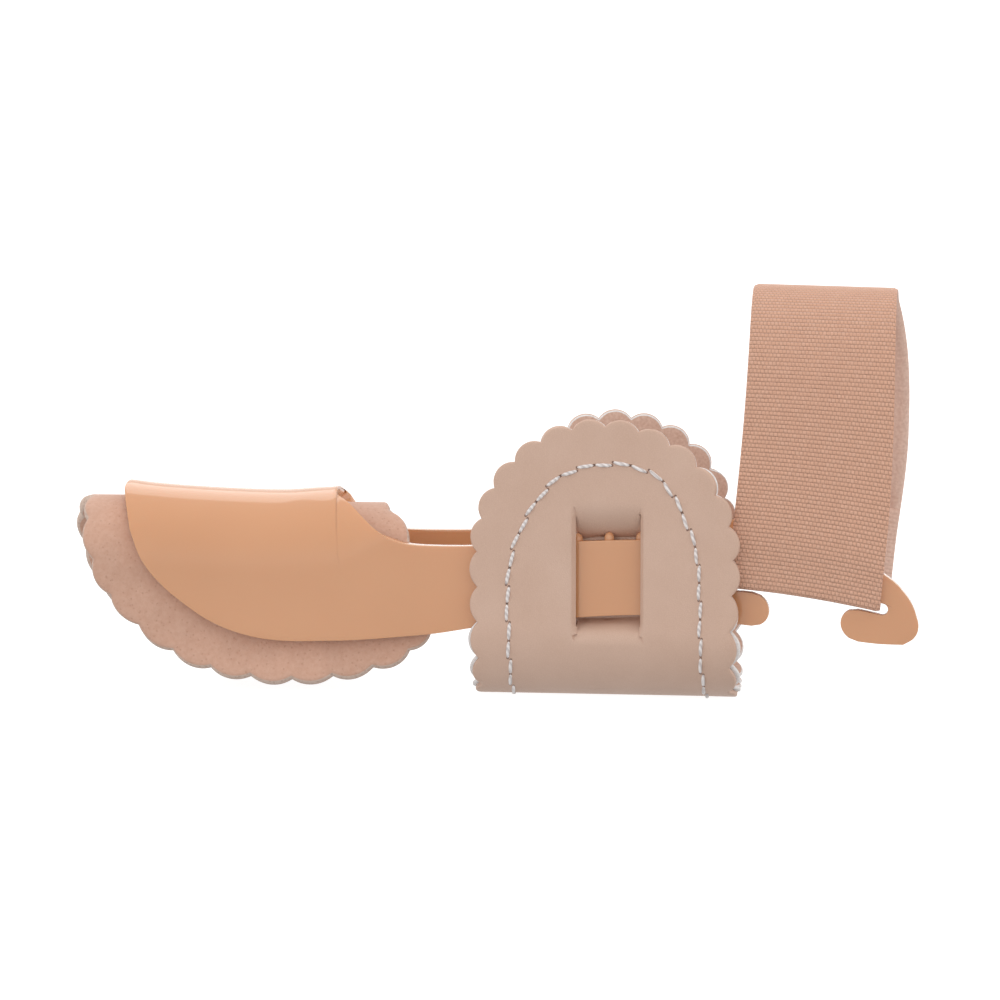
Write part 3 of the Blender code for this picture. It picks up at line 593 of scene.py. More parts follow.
def rounded_sheet(loops, spacing, place, thickness, edge_round, rim_material=0, under_material=0):
    """Closed sheet with rounded edges from a flat outline and its holes.

    place(x, v, depth) gives the point at a depth under the outer face.
    """
    mesh = bmesh.new()
    uv_layer = mesh.loops.layers.uv.new("UVMap")
    flats = {}
    outer_rings, inner_rings, flat_rings = [], [], []
    for number, loop in enumerate(loops):
        outer, inner, flat = [], [], []
        for share in RING_SHARES:
            fill = math.sqrt(1.0 - (1.0 - share) ** 2)
            ring = inset(loop, edge_round * share, 1.0)
            top = [mesh.verts.new(place(p.x, p.y, thickness / 2.0 * (1.0 - fill))) for p in ring]
            if share == 0.0:
                base = top
            else:
                base = [mesh.verts.new(place(p.x, p.y, thickness / 2.0 * (1.0 + fill))) for p in ring]
            for vert, other, point in zip(top, base, ring):
                flats[vert] = flats[other] = point
            outer.append(top)
            inner.append(base)
            flat.append(ring)
        outer_rings.append(outer)
        inner_rings.append(inner)
        flat_rings.append(flat)
    for outer, inner in zip(outer_rings, inner_rings):
        for ring in range(len(RING_SHARES) - 1):
            count = len(outer[ring])
            for index in range(count):
                ahead = (index + 1) % count
                face = mesh.faces.new((outer[ring][index], outer[ring][ahead], outer[ring + 1][ahead],
                                       outer[ring + 1][index]))
                face.material_index = rim_material if ring < 2 else 0
                face = mesh.faces.new((inner[ring][ahead], inner[ring][index], inner[ring + 1][index],
                                       inner[ring + 1][ahead]))
                face.material_index = rim_material
    flat_points, top_verts, base_verts, edges = [], [], [], []
    for outer, inner, flat in zip(outer_rings, inner_rings, flat_rings):
        first = len(flat_points)
        count = len(flat[-1])
        flat_points += [tuple(p) for p in flat[-1]]
        top_verts += outer[-1]
        base_verts += inner[-1]
        edges += [(first + k, first + (k + 1) % count) for k in range(count)]
    borders = [np.array([tuple(p) for p in flat[-1]]) for flat in flat_rings]
    low, high = borders[0].min(axis=0), borders[0].max(axis=0)
    grid = []
    row_height = spacing * math.sqrt(3.0) / 2.0
    rows = int((high[1] - low[1]) / row_height) + 2
    columns = int((high[0] - low[0]) / spacing) + 2
    for row in range(rows):
        for column in range(columns):
            grid.append((low[0] + (column + 0.5 * (row % 2)) * spacing, low[1] + row * row_height))
    grid = np.array(grid)
    keep = inside(grid, borders[0])
    for border in borders[1:]:
        keep &= ~inside(grid, border)
    grid = grid[keep]
    everything = np.concatenate(borders)
    near = np.full(len(grid), 1e9)
    for point in everything:
        near = np.minimum(near, (grid[:, 0] - point[0]) ** 2 + (grid[:, 1] - point[1]) ** 2)
    grid = grid[near > (0.62 * spacing) ** 2]
    for x, v in grid:
        flat_points.append((float(x), float(v)))
        top = mesh.verts.new(place(float(x), float(v), 0.0))
        base = mesh.verts.new(place(float(x), float(v), thickness))
        flats[top] = flats[base] = Vector((float(x), float(v)))
        top_verts.append(top)
        base_verts.append(base)
    result = geometry.delaunay_2d_cdt([Vector(p) for p in flat_points], edges, [], 0, 1e-9, True)
    made, _, faces, origins = result[0], result[1], result[2], result[3]
    source = [group[0] for group in origins]
    centres = np.array([[(made[f[0]].x + made[f[1]].x + made[f[2]].x) / 3.0,
                         (made[f[0]].y + made[f[1]].y + made[f[2]].y) / 3.0] for f in faces])
    keep = inside(centres, borders[0])
    for border in borders[1:]:
        keep &= ~inside(centres, border)
    for face, kept in zip(faces, keep):
        if kept:
            a, b, c = (source[k] for k in face)
            mesh.faces.new((top_verts[a], top_verts[b], top_verts[c]))
            under = mesh.faces.new((base_verts[c], base_verts[b], base_verts[a]))
            under.material_index = under_material
    for face in mesh.faces:
        for corner in face.loops:
            point = flats[corner.vert]
            corner[uv_layer].uv = (point.x / MM / 100.0, point.y / MM / 100.0)
    bmesh.ops.recalc_face_normals(mesh, faces=list(mesh.faces))
    return mesh


def with_depth(surface, sign=1.0, step=0.2 * MM):
    """Gives the point under a curved surface, measured along its normal."""
    def place(x, v, depth):
        point = surface(x, v)
        along = surface(x + step, v) - surface(x - step, v)
        across = surface(x, v + step) - surface(x, v - step)
        normal = along.cross(across).normalized()
        return point + normal * (depth * sign)
    return place


def pad_radius():
    return SHELL_HALF_WIDTH - WALL - PAD_PLAY


def pad_arc():
    return (pad_radius() - PAD_THICKNESS / 2.0) * math.pi / 2.0


def pad_surface(x, v):
    """Outer face of the folded pad at a distance v from its fold line."""
    side = 1.0 if v > 0.0 else -1.0
    depth = abs(v)
    radius = pad_radius()
    top = crest_z(min(max(x, TOE_END_X), frame_x(SHELL_END_SHARE))) - WALL - PAD_PLAY
    if depth <= pad_arc():
        angle = depth / pad_arc() * math.pi / 2.0
        return Vector((x, side * radius * math.sin(angle), top - radius + radius * math.cos(angle)))
    drop = depth - pad_arc()
    z = top - radius - drop
    free = max(SHELL_BASE_Z + PAD_FLARE_START - z, 0.0)
    flare = PAD_FLARE * (free / PAD_FLARE_REACH) ** 1.5
    return Vector((x, side * (radius + flare), z))


def pad_outline(steps):
    front = [(PAD_START_X + share * PAD_LENGTH, -drop * PAD_DROP) for share, drop in PAD_HALF]
    rear = [(x, -v) for x, v in reversed(front[1:-1])]
    floor_drop = frame_z(1.0) - WALL - PAD_PLAY - pad_radius() + pad_arc() - PAD_FLOOR_PLAY
    rear = [(x - PAD_REAR_SHIFT * smooth_step(v, 0.0, PAD_DROP * 0.25), v * floor_drop / PAD_DROP)
            for x, v in rear]
    return scalloped(smooth_curve(front + rear, 12, True), PAD_PITCH, PAD_SCALLOP, steps)


def sling_corner_length():
    """Length of leather in the bend between the flat bottom and the upright flap."""
    across = half_width(SLING_CENTRE_X) - SLING_FLAT_HALF
    return math.pi / 2.0 * math.sqrt((across * across + SLING_CORNER_HEIGHT * SLING_CORNER_HEIGHT) / 2.0)


def sling_flap_start():
    return SLING_FLAT_HALF + sling_corner_length()


def sling_v(z):
    """Distance along the strip from the fold's middle to a height on the upright flap."""
    return sling_flap_start() + z - (COVER_THICKNESS + SLING_CORNER_HEIGHT)


def strip_push(x, z):
    """How far the strip between the slits is pushed in, so that the arm passes in front of it."""
    if abs(x - SLING_CENTRE_X) > SLIT_SPACING / 2.0:
        return 0.0
    band_base = frame_z(curve_at(LOWER_EDGE, frame_share(x)))
    band_top = frame_z(curve_at(UPPER_EDGE, frame_share(x))) + NUB_HEIGHT / 2.0
    rise = smooth_step(z, SLIT_BOTTOM_Z - COVER_THICKNESS, band_base - COVER_THICKNESS)
    fall = min(max((SLIT_TOP_Z + COVER_THICKNESS - z) / (SLIT_TOP_Z + COVER_THICKNESS - band_top), 0.0), 1.0)
    full = WALL + 2.0 * CLEARANCE + COVER_THICKNESS + CLEARANCE + LINING_THICKNESS
    return full * min(rise, fall ** STRIP_BEND)


def sling_reach(x):
    """Distance from the middle plane to the cover's inner face on a flap."""
    gap = CLEARANCE + LINING_THICKNESS + CLEARANCE
    over_strap = smooth_step(x, SLOT_START_X - SLING_RAMP, SLOT_START_X - STRAP_SIDE_PLAY)
    return half_width(x) + gap + (STRAP_THICKNESS + 2.0 * CLEARANCE) * over_strap


def sling_surface(x, v):
    """Cover's inner face at a distance v from the middle of the fold."""
    side = 1.0 if v > 0.0 else -1.0
    along = abs(v)
    reach = sling_reach(x)
    if along <= SLING_FLAT_HALF:
        return Vector((x, side * along, COVER_THICKNESS))
    if along <= sling_flap_start():
        angle = (along - SLING_FLAT_HALF) / sling_corner_length() * math.pi / 2.0
        y = SLING_FLAT_HALF + (reach - SLING_FLAT_HALF) * math.sin(angle)
        z = COVER_THICKNESS + SLING_CORNER_HEIGHT * (1.0 - math.cos(angle))
    else:
        y = reach
        z = COVER_THICKNESS + SLING_CORNER_HEIGHT + along - sling_flap_start()
    y -= strip_push(x, z)
    return Vector((x, side * y, z))


def lining_grow(point):
    """The lining shows past the leather round the fold, and stays behind it higher up."""
    bend_end = sling_flap_start()
    hidden = smooth_step(abs(point.y), bend_end - 3.0 * MM, bend_end + 5.0 * MM)
    return LINING_SHOWS - (LINING_SHOWS + LINING_HIDES) * hidden


def sling_loops(rise, steps, grow=None):
    """Outline of the flat strip and its four slits."""
    tip = sling_v(SLING_HEIGHT)
    ends = (
        (0.0, tip - SLING_REAR_DROP - SLING_REAR_HALF_WIDTH, SLING_REAR_SHIFT, SLING_REAR_HALF_WIDTH),
        (1.0, SLING_HALF_WIDTH - tip, SLING_FRONT_SHIFT, SLING_HALF_WIDTH),
    )
    loop = []
    for turn, middle_v, shift, radius in ends:
        for step in range(49):
            angle = math.pi * (step / 48 + turn)
            x = SLING_CENTRE_X - shift + radius * math.cos(angle)
            loop.append(Vector((x, radius * math.sin(angle) + middle_v)))
    loops = [scalloped(loop, SLING_PITCH, rise, steps, grow)]
    low, high = sling_v(SLIT_BOTTOM_Z), sling_v(SLIT_TOP_Z)
    for flap in (-1.0, 1.0):
        for side in (-1.0, 1.0):
            middle = SLING_CENTRE_X + side * SLIT_SPACING / 2.0
            loops.append(slit_loop(middle, low, high, flap))
    return loops


def slit_loop(middle, low, high, flap):
    """Narrow slot with pointed ends, run clockwise because it is a hole."""
    steps = 24
    left, right = [], []
    for step in range(steps + 1):
        share = step / steps
        width = SLIT_WIDTH / 2.0 * min(1.0, 6.0 * math.sin(math.pi * share) + 0.02)
        v = low + (high - low) * share
        left.append(Vector((middle - width, v)))
        right.append(Vector((middle + width, v)))
    loop = left + right[::-1]
    if flap < 0.0:
        loop = [Vector((p.x, -p.y)) for p in reversed(loop)]
    return loop


def slot_middle(x):
    """Height of the slot's middle line."""
    share = frame_share(x)
    top = frame_z(curve_at(UPPER_EDGE, share))
    base = frame_z(curve_at(LOWER_EDGE, share))
    return top + (base - top) * SLOT_DEPTH_SHARE


def strap_path():
    """The strap's way from one inner end over the arch to the other: (y, z above the slot's middle)."""
    rail_outer, rail_inner = ARM_HALF_WIDTH, ARM_HALF_WIDTH - WALL
    off = CLEARANCE + STRAP_THICKNESS / 2.0
    middle = slot_middle(SLOT_START_X + SLOT_LENGTH / 2.0)
    points = []
    for share in (1.0, 0.66, 0.33):
        points.append((rail_inner - off, off + (STRAP_END_Z - middle - off) * share))
    for step in range(7):
        angle = math.pi / 2.0 * step / 6
        points.append((rail_inner - off * math.cos(angle), off * (1.0 - math.sin(angle))))
    for step in range(7):
        angle = math.pi / 2.0 * step / 6
        points.append((rail_outer + off * math.sin(angle), off * (1.0 - math.cos(angle))))
    points.append((rail_outer + off, off + STRAP_RISE))
    top = STRAP_HEIGHT - STRAP_THICKNESS / 2.0
    arch = [((rail_outer + off) * reach, top * height - middle) for reach, height in STRAP_ARCH]
    half = points + arch
    return [(-y, z) for y, z in half] + [(y, z) for y, z in reversed(half[:-1])]


def even_path(points, step):
    """Points an even step apart along a polyline."""
    spans = [(ahead - here).length for here, ahead in zip(points, points[1:])]
    lengths = np.concatenate([[0.0], np.cumsum(spans)])
    count = max(int(round(lengths[-1] / step)), 1)
    places = np.linspace(0.0, lengths[-1], count + 1)
    y = np.interp(places, lengths, [p.x for p in points])
    z = np.interp(places, lengths, [p.y for p in points])
    return [Vector((a, b)) for a, b in zip(y, z)], lengths[-1]


def linear(code):
    """Turns an sRGB hex colour into the linear values that shaders take."""
    values = []
    for start in (0, 2, 4):
        value = int(code[start:start + 2], 16) / 255.0
        values.append(value / 12.92 if value <= 0.04045 else ((value + 0.055) / 1.055) ** 2.4)
    return (*values, 1.0)


def add_node(tree, kind, settings=None, inputs=None, links=None):
    """Adds a shader node with its settings, its input values and its incoming links."""
    node = tree.nodes.new(kind)
    for key, value in (settings or {}).items():
        setattr(node, key, value)
    for key, value in (inputs or {}).items():
        node.inputs[key].default_value = value
    for key, source in (links or {}).items():
        tree.links.new(source, node.inputs[key])
    return node


def start_material(name):
    material = bpy.data.materials.new(name)
    material.use_nodes = True
    return material, material.node_tree


def finish_surface(material, colour, relief, values):
    """Joins a colour and a relief (height, strength, depth in mm) to the shader and sets its plain values."""
    tree = material.node_tree
    shader = tree.nodes["Principled BSDF"]
    tree.links.new(colour, shader.inputs["Base Color"])
    if relief:
        height, strength, depth_mm = relief
        bump = add_node(tree, "ShaderNodeBump", None, {"Strength": strength, "Distance": depth_mm * MM},
                        {"Height": height})
        tree.links.new(bump.outputs["Normal"], shader.inputs["Normal"])
    for key, value in values.items():
        shader.inputs[key].default_value = value
    return material


def texture(tree, kind, size_mm, settings=None, **inputs):
    """Pattern in object coordinates, whose cells are one size apart."""
    place = add_node(tree, "ShaderNodeTexCoord").outputs["Object"]
    return add_node(tree, kind, settings, {"Scale": 1.0 / (size_mm * MM), **inputs}, {"Vector": place})


def mix_colours(tree, factor, first, second):
    """Mixes two colours, each a hex value or another node's output."""
    mix = add_node(tree, "ShaderNodeMix", {"data_type": "RGBA"}, None, {0: factor})
    for socket, colour in ((6, first), (7, second)):
        if isinstance(colour, str):
            mix.inputs[socket].default_value = linear(colour)
        else:
            tree.links.new(colour, mix.inputs[socket])
    return mix.outputs[2]


def stretch(tree, source, low, high, out_low=0.0, out_high=1.0):
    values = {"From Min": low, "From Max": high, "To Min": out_low, "To Max": out_high}
    ramp = add_node(tree, "ShaderNodeMapRange", None, values, {"Value": source})
    return ramp.outputs["Result"]


def moulded_nylon(base, shade):
    """Injection-moulded nylon: smooth and glossy, with the faintest flow marks under the gloss."""
    material, tree = start_material("moulded_nylon")
    cloud = texture(tree, "ShaderNodeTexNoise", 38.0, Detail=2.0)
    ripple = texture(tree, "ShaderNodeTexNoise", 5.0, Detail=1.0)
    colour = mix_colours(tree, stretch(tree, cloud.outputs["Fac"], 0.35, 0.65), base, shade)
    return finish_surface(material, colour, (ripple.outputs["Fac"], 0.05, 0.05), {
        "Roughness": 0.1, "IOR": 1.53, "Subsurface Weight": 0.12,
        "Subsurface Radius": (0.004, 0.002, 0.0012), "Subsurface Scale": 1.0})


def napped_suede(base, dark, pale):
    """Napped suede on foam: matt, with a soft sheen, fine pores and darker specks."""
    material, tree = start_material("napped_suede")
    nap = texture(tree, "ShaderNodeTexNoise", 0.9, Detail=4.0, Roughness=0.65).outputs["Fac"]
    cloud = texture(tree, "ShaderNodeTexNoise", 9.0, Detail=2.0).outputs["Fac"]
    pores = texture(tree, "ShaderNodeTexVoronoi", 1.1, Randomness=1.0)
    pits = stretch(tree, pores.outputs["Distance"], 0.08, 0.26)
    mixed = mix_colours(tree, stretch(tree, nap, 0.3, 0.7), base, pale)
    shade = mix_colours(tree, stretch(tree, pits, 0.0, 1.0, 0.45, 1.0), dark, mixed)
    tone = add_node(tree, "ShaderNodeHueSaturation", None, None,
                    {"Color": shade, "Value": stretch(tree, cloud, 0.3, 0.7, 0.95, 1.04)})
    height = add_node(tree, "ShaderNodeMath", {"operation": "MULTIPLY"}, None, {0: nap, 1: pits})
    return finish_surface(material, tone.outputs["Color"], (height.outputs[0], 0.5, 0.25), {
        "Roughness": 0.95, "Specular IOR Level": 0.2, "Sheen Weight": 0.25, "Sheen Roughness": 0.5})


def cut_foam(base, dark):
    """Cut foam at the pad's edge: paler and greyer than the suede, with open cells."""
    material, tree = start_material("cut_foam")
    cells = texture(tree, "ShaderNodeTexVoronoi", 0.7).outputs["Distance"]
    colour = mix_colours(tree, stretch(tree, cells, 0.1, 0.5), dark, base)
    return finish_surface(material, colour, (cells, 0.5, 0.2), {"Roughness": 0.9})


def grained_leather(base, dark):
    """Fine-grained leather: a satin skin with small pebbles, pores and faint cloudy tone."""
    material, tree = start_material("grained_leather")
    pebbles = texture(tree, "ShaderNodeTexVoronoi", 0.4, {"feature": "DISTANCE_TO_EDGE"})
    grain = stretch(tree, pebbles.outputs["Distance"], 0.0, 0.22, 0.4, 1.0)
    fine = texture(tree, "ShaderNodeTexNoise", 0.3, Detail=3.0)
    cloud = texture(tree, "ShaderNodeTexNoise", 12.0, Detail=3.0)
    blend = add_node(tree, "ShaderNodeMath", {"operation": "MULTIPLY"}, {1: 0.5}, {0: grain})
    tone = add_node(tree, "ShaderNodeMath", {"operation": "ADD"}, None,
                    {0: blend.outputs[0], 1: stretch(tree, cloud.outputs["Fac"], 0.3, 0.7, 0.15, 0.5)})
    height = add_node(tree, "ShaderNodeMath", {"operation": "ADD"}, None, {0: grain, 1: fine.outputs["Fac"]})
    return finish_surface(material, mix_colours(tree, tone.outputs[0], dark, base),
                          (height.outputs[0], 0.25, 0.12), {"Roughness": 0.5, "Specular IOR Level": 0.4})


def napped_cloth(name, base, dark):
    """Thin knitted cloth with a short nap: soft and matt, with fine fibres."""
    material, tree = start_material(name)
    fibre = texture(tree, "ShaderNodeTexNoise", 0.6, Detail=4.0).outputs["Fac"]
    colour = mix_colours(tree, stretch(tree, fibre, 0.3, 0.7), dark, base)
    return finish_surface(material, colour, (fibre, 0.35, 0.12), {"Roughness": 0.85, "Sheen Weight": 0.1})


def twisted_thread(base, dark):
    """Twisted polyester thread: pale, with a soft silky gloss and a fine diagonal twist."""
    material, tree = start_material("twisted_thread")
    # The wave repeats six or so times in each cell
    twist = texture(tree, "ShaderNodeTexWave", 0.35 * 6.0, {"bands_direction": "DIAGONAL"})
    colour = mix_colours(tree, twist.outputs["Fac"], dark, base)
    return finish_surface(material, colour, None, {"Roughness": 0.6, "Sheen Weight": 0.2})


def needle_hole_shadow(base, dark):
    """Bottom of a needle hole: the leather's own colour in deep shade."""
    material, tree = start_material("needle_hole_painted_shade")
    grain = texture(tree, "ShaderNodeTexNoise", 0.4)
    colour = mix_colours(tree, grain.outputs["Fac"], base, dark)
    return finish_surface(material, colour, None, {"Roughness": 0.9})


def ribbed_elastic(base, dark, pale, rib_mm):
    """Ribbed elastic webbing: rows of short yarn floats across the band, with darker gaps between them that are
    painted shade in the grooves; the scattered paler floats are painted glints.
    """
    material, tree = start_material("ribbed_elastic")
    uv = add_node(tree, "ShaderNodeTexCoord").outputs["UV"]
    in_mm = add_node(tree, "ShaderNodeMapping", None, {"Scale": (100.0, 100.0, 1.0)}, {"Vector": uv})
    # Mortar colour: painted shade in the grooves between the floats; Color2: painted glints on a few floats
    yarn = add_node(tree, "ShaderNodeTexBrick", {"offset": 0.5},
                    {"Color1": linear(base), "Color2": linear(pale), "Mortar": linear(dark), "Scale": 1.0,
                     "Mortar Size": 0.13, "Mortar Smooth": 1.0, "Bias": -0.5, "Brick Width": 0.8,
                     "Row Height": rib_mm}, {"Vector": in_mm.outputs["Vector"]})
    fuzz = texture(tree, "ShaderNodeTexNoise", 0.45, Detail=4.0, Roughness=0.7).outputs["Fac"]
    cloud = texture(tree, "ShaderNodeTexNoise", 2.2, Detail=3.0).outputs["Fac"]
    tone = add_node(tree, "ShaderNodeMath", {"operation": "MULTIPLY"}, None,
                    {0: stretch(tree, fuzz, 0.3, 0.7), 1: stretch(tree, cloud, 0.3, 0.7, 0.55, 1.0)})
    value = stretch(tree, tone.outputs[0], 0.0, 1.0, 0.93, 1.07)
    shade = add_node(tree, "ShaderNodeHueSaturation", None, None,
                     {"Color": yarn.outputs["Color"], "Value": value})
    height = add_node(tree, "ShaderNodeMath", {"operation": "ADD"}, None,
                      {0: fuzz, 1: stretch(tree, yarn.outputs["Fac"], 0.0, 1.0, 1.0, 0.0)})
    return finish_surface(material, shade.outputs["Color"], (height.outputs[0], 0.7, 0.25), {
        "Roughness": 0.8, "Specular IOR Level": 0.3, "Sheen Weight": 0.35, "Sheen Roughness": 0.4})


def studio_paper(base, shade, glow):
    """Matt white studio paper, lit from below so that shadows stay faint."""
    material, tree = start_material("studio_paper")
    cloud = texture(tree, "ShaderNodeTexNoise", 500.0, Detail=2.0)
    return finish_surface(material, mix_colours(tree, cloud.outputs["Fac"], base, shade), None, {
        "Roughness": 0.9, "Specular IOR Level": 0.1, "Emission Color": (1.0, 1.0, 1.0, 1.0),
        "Emission Strength": glow})


def length_property(name, text, default):
    return bpy.props.FloatProperty(name=name, description=text, default=default, min=0.0, unit="LENGTH",
                                   precision=5)


def count_property(name, text, default, least):
    return bpy.props.IntProperty(name=name, description=text, default=default, min=least)


def angle_property(name, text, degrees):
    return bpy.props.FloatProperty(name=name, description=text, default=math.radians(degrees), unit="ROTATION")


def strength_property(name, text, default):
    return bpy.props.FloatProperty(name=name, description=text, default=default, min=0.0)


class FrameSettings(bpy.types.PropertyGroup):
    edge_round: length_property("Edge round", "Radius of the moulding's edges", 0.9 * MM)
    edge_steps: count_property("Edge steps", "Faces across a rounded edge", 3, 1)


class PadSettings(bpy.types.PropertyGroup):
    spacing: length_property("Face size", "Distance between the pad's mesh points", 1.3 * MM)
    edge_round: length_property("Edge round", "Radius of the pad's edge", 0.9 * MM)
    lobe_steps: count_property("Lobe steps", "Points on one scallop", 14, 4)


class SlingSettings(bpy.types.PropertyGroup):
    spacing: length_property("Face size", "Distance between the leather's mesh points", 0.9 * MM)
    cover_scallop: length_property("Cover scallop", "Depth of the leather's scallops", 1.6 * MM)
    lobe_steps: count_property("Lobe steps", "Points on one scallop", 14, 4)
    stitch_length: length_property("Stitch length", "Length of one stitch", 3.5 * MM)
    stitch_gap: length_property("Stitch gap", "Distance between two stitches", 0.25 * MM)
    thread_width: length_property("Thread width", "Diameter of the thread", 0.8 * MM)


class StrapSettings(bpy.types.PropertyGroup):
    rib_pitch: length_property("Rib pitch", "Distance between two ribs", 0.88 * MM)
    rib_height: length_property("Rib height", "Height of a rib", 0.16 * MM)
    columns: count_property("Columns", "Faces across the strap", 36, 4)


class StudioSettings(bpy.types.PropertyGroup):
    azimuth: angle_property("Azimuth", "Camera's turn round the object", 6.2)
    elevation: angle_property("Elevation", "Camera's height angle", 6.2)
    distance: length_property("Distance", "Camera's distance from the object", 1.0)
    lens: bpy.props.FloatProperty(name="Lens", description="Focal length", default=171.4, unit="CAMERA")
    aim_shift: length_property("Aim shift", "Distance of the camera's aim from the middle", 0.4 * MM)
    aim_height: length_property("Aim height", "Height that the camera looks at", 39.6 * MM)
    floor_size: length_property("Floor size", "Side of the floor", 60.0)
    key_power: strength_property("Key power", "Overhead softbox in watts", 0.3)
    sky: strength_property("Sky", "Strength of the light from the tent's walls", 1.5)
    sky_top: strength_property("Sky top", "Strength of the tent's top, as a share of its walls", 0.75)
    underside: strength_property("Underside", "Strength of the light from below", 0.52)
    floor_glow: strength_property("Floor glow", "Light given off by the floor", 0.9)


def build_frame(settings):
    """The moulding, given its wall, its rounded edges and its nubs."""
    nylon = moulded_nylon("D49B72", "CF966D")
    thing = add_object("moulded_splint", frame_mesh(), [nylon], 40.0)
    wall = thing.modifiers.new("wall", "SOLIDIFY")
    wall.thickness = WALL
    wall.offset = -1.0
    wall.use_even_offset = True
    bevel = thing.modifiers.new("edges", "BEVEL")
    bevel.width = settings.edge_round
    bevel.segments = settings.edge_steps
    bevel.limit_method = "ANGLE"
    bevel.angle_limit = math.radians(50.0)
    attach(thing, "root")
    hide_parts("splint_frame")
    nubs = bmesh.new()
    for place in nub_places():
        made = bmesh.ops.create_uvsphere(nubs, u_segments=24, v_segments=16, radius=1.0)
        sink = NUB_HEIGHT * NUB_SINK_SHARE
        for vert in made["verts"]:
            vert.co = place + Vector((vert.co.x * NUB_WIDTH / 2.0, vert.co.y * NUB_WIDTH / 2.0,
                                      vert.co.z * (NUB_HEIGHT + sink) / 2.0 + (NUB_HEIGHT - sink) / 2.0))
    domes = add_object("grip_nubs", nubs, [nylon])
    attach(domes, "root")


def build_toe_pad(settings):
    suede = napped_suede("C99E88", "B98C76", "D2AA95")
    foam = cut_foam("CDB5A6", "B99D8D")
    mesh = rounded_sheet([pad_outline(settings.lobe_steps)], settings.spacing, with_depth(pad_surface, -1.0),
                         PAD_THICKNESS, settings.edge_round, 1)
    pad = add_object("suede_toe_pad", mesh, [suede, foam])
    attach(pad, "root")
    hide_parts("toe_pad")


def build_sling(settings):
    leather = grained_leather("CFAF9C", "C09D88")
    cloth = napped_cloth("white_lining", "EEEBEA", "DAD4D0")
    backing = napped_cloth("tan_backing", "DABDAD", "C8A592")
    inner_face = with_depth(sling_surface)

    def cover_place(x, v, depth):
        return inner_face(x, v, depth - COVER_THICKNESS)

    def lining_place(x, v, depth):
        return inner_face(x, v, depth + LINING_GAP)

    loops = sling_loops(settings.cover_scallop, settings.lobe_steps)
    mesh = rounded_sheet(loops, settings.spacing, cover_place, COVER_THICKNESS, COVER_ROUND)
    cover = add_object("leather_cover", mesh, [leather])
    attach(cover, "root")
    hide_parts("bunion_pad_cover")
    loops = sling_loops(settings.cover_scallop, settings.lobe_steps, lining_grow)
    mesh = rounded_sheet(loops, settings.spacing * 1.2, lining_place, LINING_THICKNESS, LINING_ROUND, 0, 1)
    lining = add_object("cloth_lining", mesh, [cloth, backing])
    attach(lining, "root")
    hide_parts("bunion_pad_lining")


def stitch_line(flap):
    """Flat route of the stitching on one flap: up one side, round the arch and down the other."""
    arch = [(SLING_CENTRE_X + x * SLING_HALF_WIDTH, sling_v(z * SLING_HEIGHT)) for x, z in STITCH_ARCH]
    arch = smooth_curve(arch, 8, False)
    points = [Vector((arch[0].x, 0.0))] + arch + [Vector((arch[-1].x, 0.0))]
    return [Vector((p.x, p.y * flap)) for p in points]


def ring_points(mesh, middle, side, up, radius, count):
    """Circle of mesh points in the plane of two directions."""
    points = []
    for corner in range(count):
        angle = 2.0 * math.pi * corner / count
        points.append(mesh.verts.new(middle + (side * math.cos(angle) + up * math.sin(angle)) * radius))
    return points


def join_rings(mesh, one, two):
    """Band of faces between two rings of points."""
    for corner in range(len(one)):
        after = (corner + 1) % len(one)
        mesh.faces.new((one[corner], one[after], two[after], two[corner]))


def add_stitch(mesh, holes, face, ends, stagger, width):
    """One stitch: a thread that swells in the middle and dives into a needle hole at each end."""
    start, end = ends
    way = (end - start).normalized()
    across = Vector((-way.y, way.x))
    last = None
    for ring in range(THREAD_RINGS + 1):
        share = ring / THREAD_RINGS
        flat = start.lerp(end, share) + across * (stagger + STITCH_SKEW * (share - 0.5) * 2.0)
        lift = math.sin(math.pi * share) ** 0.5 * width * 0.42
        middle = face(flat.x, flat.y, -COVER_THICKNESS - lift + width * 0.2)
        base = face(flat.x, flat.y, -COVER_THICKNESS)
        ahead = (face(flat.x + way.x * 1e-4, flat.y + way.y * 1e-4, -COVER_THICKNESS) - base).normalized()
        up = (face(flat.x, flat.y, -COVER_THICKNESS - 1e-4) - base).normalized()
        radius = width / 2.0 * (0.35 + 0.65 * math.sin(math.pi * share) ** 0.4)
        verts = ring_points(mesh, middle, ahead.cross(up).normalized(), up, radius, THREAD_SIDES)
        if last:
            join_rings(mesh, last, verts)
        else:
            mesh.faces.new(verts[::-1])
        last = verts
        if ring in (0, THREAD_RINGS):
            add_hole(holes, face, flat)
    mesh.faces.new(last)


def build_stitching(settings):
    thread = twisted_thread("EEE8E6", "C6BDBA")
    # Needle holes: dark discs whose colour is painted shade inside each hole
    hole = needle_hole_shadow("9C8276", "6E4C3C")
    face = with_depth(sling_surface)
    stitches = bmesh.new()
    holes = bmesh.new()
    pitch = settings.stitch_length + settings.stitch_gap
    for flap in (-1.0, 1.0):
        route, total = even_path(stitch_line(flap), 0.1 * MM)
        for index in range(int(total / pitch)):
            near = index * pitch + settings.stitch_gap / 2.0
            start = int(near / total * len(route))
            end = min(int((near + settings.stitch_length) / total * len(route)), len(route) - 1)
            stagger = STITCH_STAGGER * (1.0 if index % 2 else -1.0)
            add_stitch(stitches, holes, face, (route[start], route[end]), stagger, settings.thread_width)
    bmesh.ops.recalc_face_normals(stitches, faces=list(stitches.faces))
    rows = add_object("sling_stitches", stitches, [thread])
    dots = add_object("needle_holes", holes, [hole])
    for piece, slot in ((rows, "lining"), (dots, "leather")):
        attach(piece, "root")


